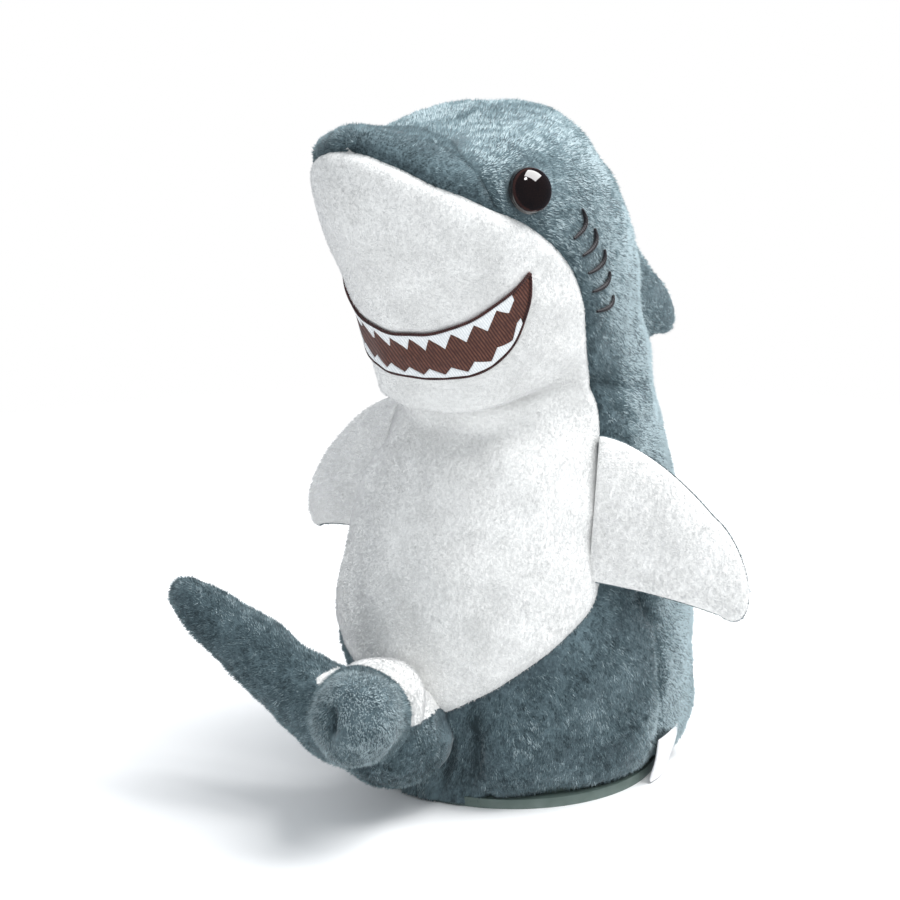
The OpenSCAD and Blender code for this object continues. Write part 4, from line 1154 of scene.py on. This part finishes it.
# The near lobe's end takes lighter tufts and its dimple darker ones: painted light and painted shade.
near_lobe_painted_light_shade = 2.1 * np.clip(local @ lobe_axis / 6 + 1.2, 0, 1) * on_near * (points[:, 0] > -4)
near_lobe_painted_light_shade -= 1.3 * dimple * on_near
tail_patches = [patch(points, faces[chosen], out, toward_tip, keep, tones, near_lobe_painted_light_shade)
                for chosen, tones in ((~white_top, GREY_TONES), (white_top, WHITE_TONES))]
tail_piles = [grow_pile(name, tail_patches, seed, per_mm2=4.2, length=length, width=0.3)
              for name, seed, length in (("tail_pile", 71, 1.2), ("tail_pile_short", 72, 0.9))]
settle([tail_cover, *tail_piles], ["tail_stalk", "tail_lobe_left", "tail_lobe_right"],
       ("base", "tail", (0, -0.043, 0.024), (0, -0.055, 0.024)))
print("tail faces:", len(faces), "white:", int(white_top.sum()))

# %% [markdown]
# The small soft things that remain: a blank satin label sewn into the lower edge, a pleated lining
# that closes the waist behind the covers, and the wadding inside. The wadding starts from the
# frame's plain solids, which are melted and made lumpy, because loose fibre has no crisp edge.

# %% Label
u, v = grid(36, 30)
t, a = 0.02 + 1.3 * u, 96 + 24 * v
lift = 0.6 + 3.4 * (1 - u) + 0.25 * np.sin(math.pi * v) * (1 - u)
under = body_at(t, a) + out_of_body(t, a) * lift[..., None]
weave = 0.03 * np.sin(u * 90) * np.sin(v * 80)
label = add_piece("blank_label", *thick_plate(under + out_of_body(t, a) * (0.45 + weave)[..., None], under),
                  FINISHES["label_satin"])
settle([label], ["label"], "base")


# %% Waist lining
def ring_at_height(z, a):
    """The ring of the loft whose side is at a height, found from the half-way line of the rings."""
    levels = (RINGS[:, 1] + RINGS[:, 3]) / 2
    return np.interp(z, levels[:8], np.arange(8)) + 0 * a


u, v = grid(20, 300)
t, a = ring_at_height(43.8 + 13.4 * u, v), 360 * v
pleat = 0.45 * np.sin(np.radians(a) * 40) * np.sin(math.pi * u)
inner = body_at(t, a) - out_of_body(t, a) * (6.6 - pleat)[..., None]
lining = add_piece("waist_lining", *thick_plate(inner, inner - out_of_body(t, a) * 0.6), lining_cloth)
settle([lining], ["waist_sleeve"], WAIST)

# %% Wadding
for name, body in (("base_fill", "base"), ("chest_fill", "upper"), ("head_fill", "upper")):
    solid = nodes[name].data
    points = np.array([p.co for p in solid.vertices]) / MM
    solid.calc_loop_triangles()
    tris = np.array([list(tri.vertices) for tri in solid.loop_triangles])
    points, faces, out = melted(points, tris, 1.6, 2)
    points = points - out * (3.3 + 0.3 * lumps(points, 7, 81))[:, None]
    piece = add_piece(name.replace("fill", "wadding"), points, faces, wadding)
    settle([piece], [name], body)

# %% [markdown]
# The hard parts of the frame keep their shapes. Each takes the finish of the slot that the record
# gives it.

# %% Finish the mechanism and the base
slot_of = {part["node"]: part["material_slot"] for part in frame["record"]["subparts"]}
dressed = 0
for name, thing in nodes.items():
    if thing.hide_render:
        continue
    thing.data.materials.clear()
    thing.data.materials.append(FINISHES[slot_of[name]])
    dressed += 1
print("frame pieces dressed:", dressed)

# %% [markdown]
# The toy stands on a white sweep in soft daylight. A large soft light from the upper right rear
# picks out the pile, a low sky fills the rest, and the floor fades into the white surround.

# %% Floor, sky and lights
def build_floor():
    rings, spokes = 24, 64
    r = np.linspace(0.02, 1, rings)[:, None] * 1000
    angle = np.linspace(0, math.tau, spokes, endpoint=False)
    points = np.stack([r * np.cos(angle), r * np.sin(angle) - 10, 0 * r * angle], -1).reshape(-1, 3)
    faces = np.concatenate([ring_quads(rings, spokes), end_cap(spokes)])[:, ::-1]
    material, tree, shader = new_finish("white sweep", Base_Color=(0.9, 0.9, 0.9, 1), Roughness=0.9,
                                        Specular_IOR_Level=0.1)
    where = node(tree, "ShaderNodeTexCoord").outputs["Object"]
    away = node(tree, "ShaderNodeVectorMath", {0: where}, operation="LENGTH").outputs["Value"]
    fade = ramped(tree, away, 0.18, 0.42)
    clear = node(tree, "ShaderNodeBsdfTransparent")
    mirrored_ray = node(tree, "ShaderNodeLightPath").outputs["Is Glossy Ray"]
    gone = worked(tree, "MAXIMUM", fade, mirrored_ray)
    mix = node(tree, "ShaderNodeMixShader", {0: gone, 1: shader.outputs["BSDF"], 2: clear.outputs["BSDF"]})
    tree.links.new(mix.outputs["Shader"], tree.nodes["Material Output"].inputs["Surface"])
    add_piece("floor", points, faces, material)


def build_sky(glow):
    """White for the camera, and a softer white as a source of light."""
    world = bpy.data.worlds.new("sweep light")
    scene.world = world
    world.use_nodes = True
    tree = world.node_tree
    tree.nodes.clear()
    light = node(tree, "ShaderNodeBackground", Color=(0.92, 0.96, 1, 1), Strength=glow)
    seen = node(tree, "ShaderNodeBackground", Color=(1, 1, 1, 1), Strength=1.0)
    ray = node(tree, "ShaderNodeLightPath")
    dark = node(tree, "ShaderNodeBackground", Color=(0.7, 0.8, 1, 1), Strength=0.12)
    soft = node(tree, "ShaderNodeMixShader", {0: ray.outputs["Is Glossy Ray"], 1: light.outputs[0],
                                              2: dark.outputs[0]})
    mix = node(tree, "ShaderNodeMixShader", {0: ray.outputs["Is Camera Ray"], 1: soft.outputs[0],
                                             2: seen.outputs[0]})
    tree.links.new(mix.outputs[0], node(tree, "ShaderNodeOutputWorld").inputs["Surface"])


def soft_box(name, azimuth, elevation, distance, size, watts):
    """A square soft light that faces the toy."""
    data = bpy.data.lights.new(name, "AREA")
    data.shape, data.size, data.energy = "SQUARE", size, watts
    facing_the_toy(name, data, azimuth, elevation, distance)


build_floor()
build_sky(0.86)
soft_box("key", azimuth=124, elevation=62, distance=0.95, size=0.7, watts=13.5)
soft_box("window", azimuth=62, elevation=58, distance=0.8, size=0.12, watts=0.8)
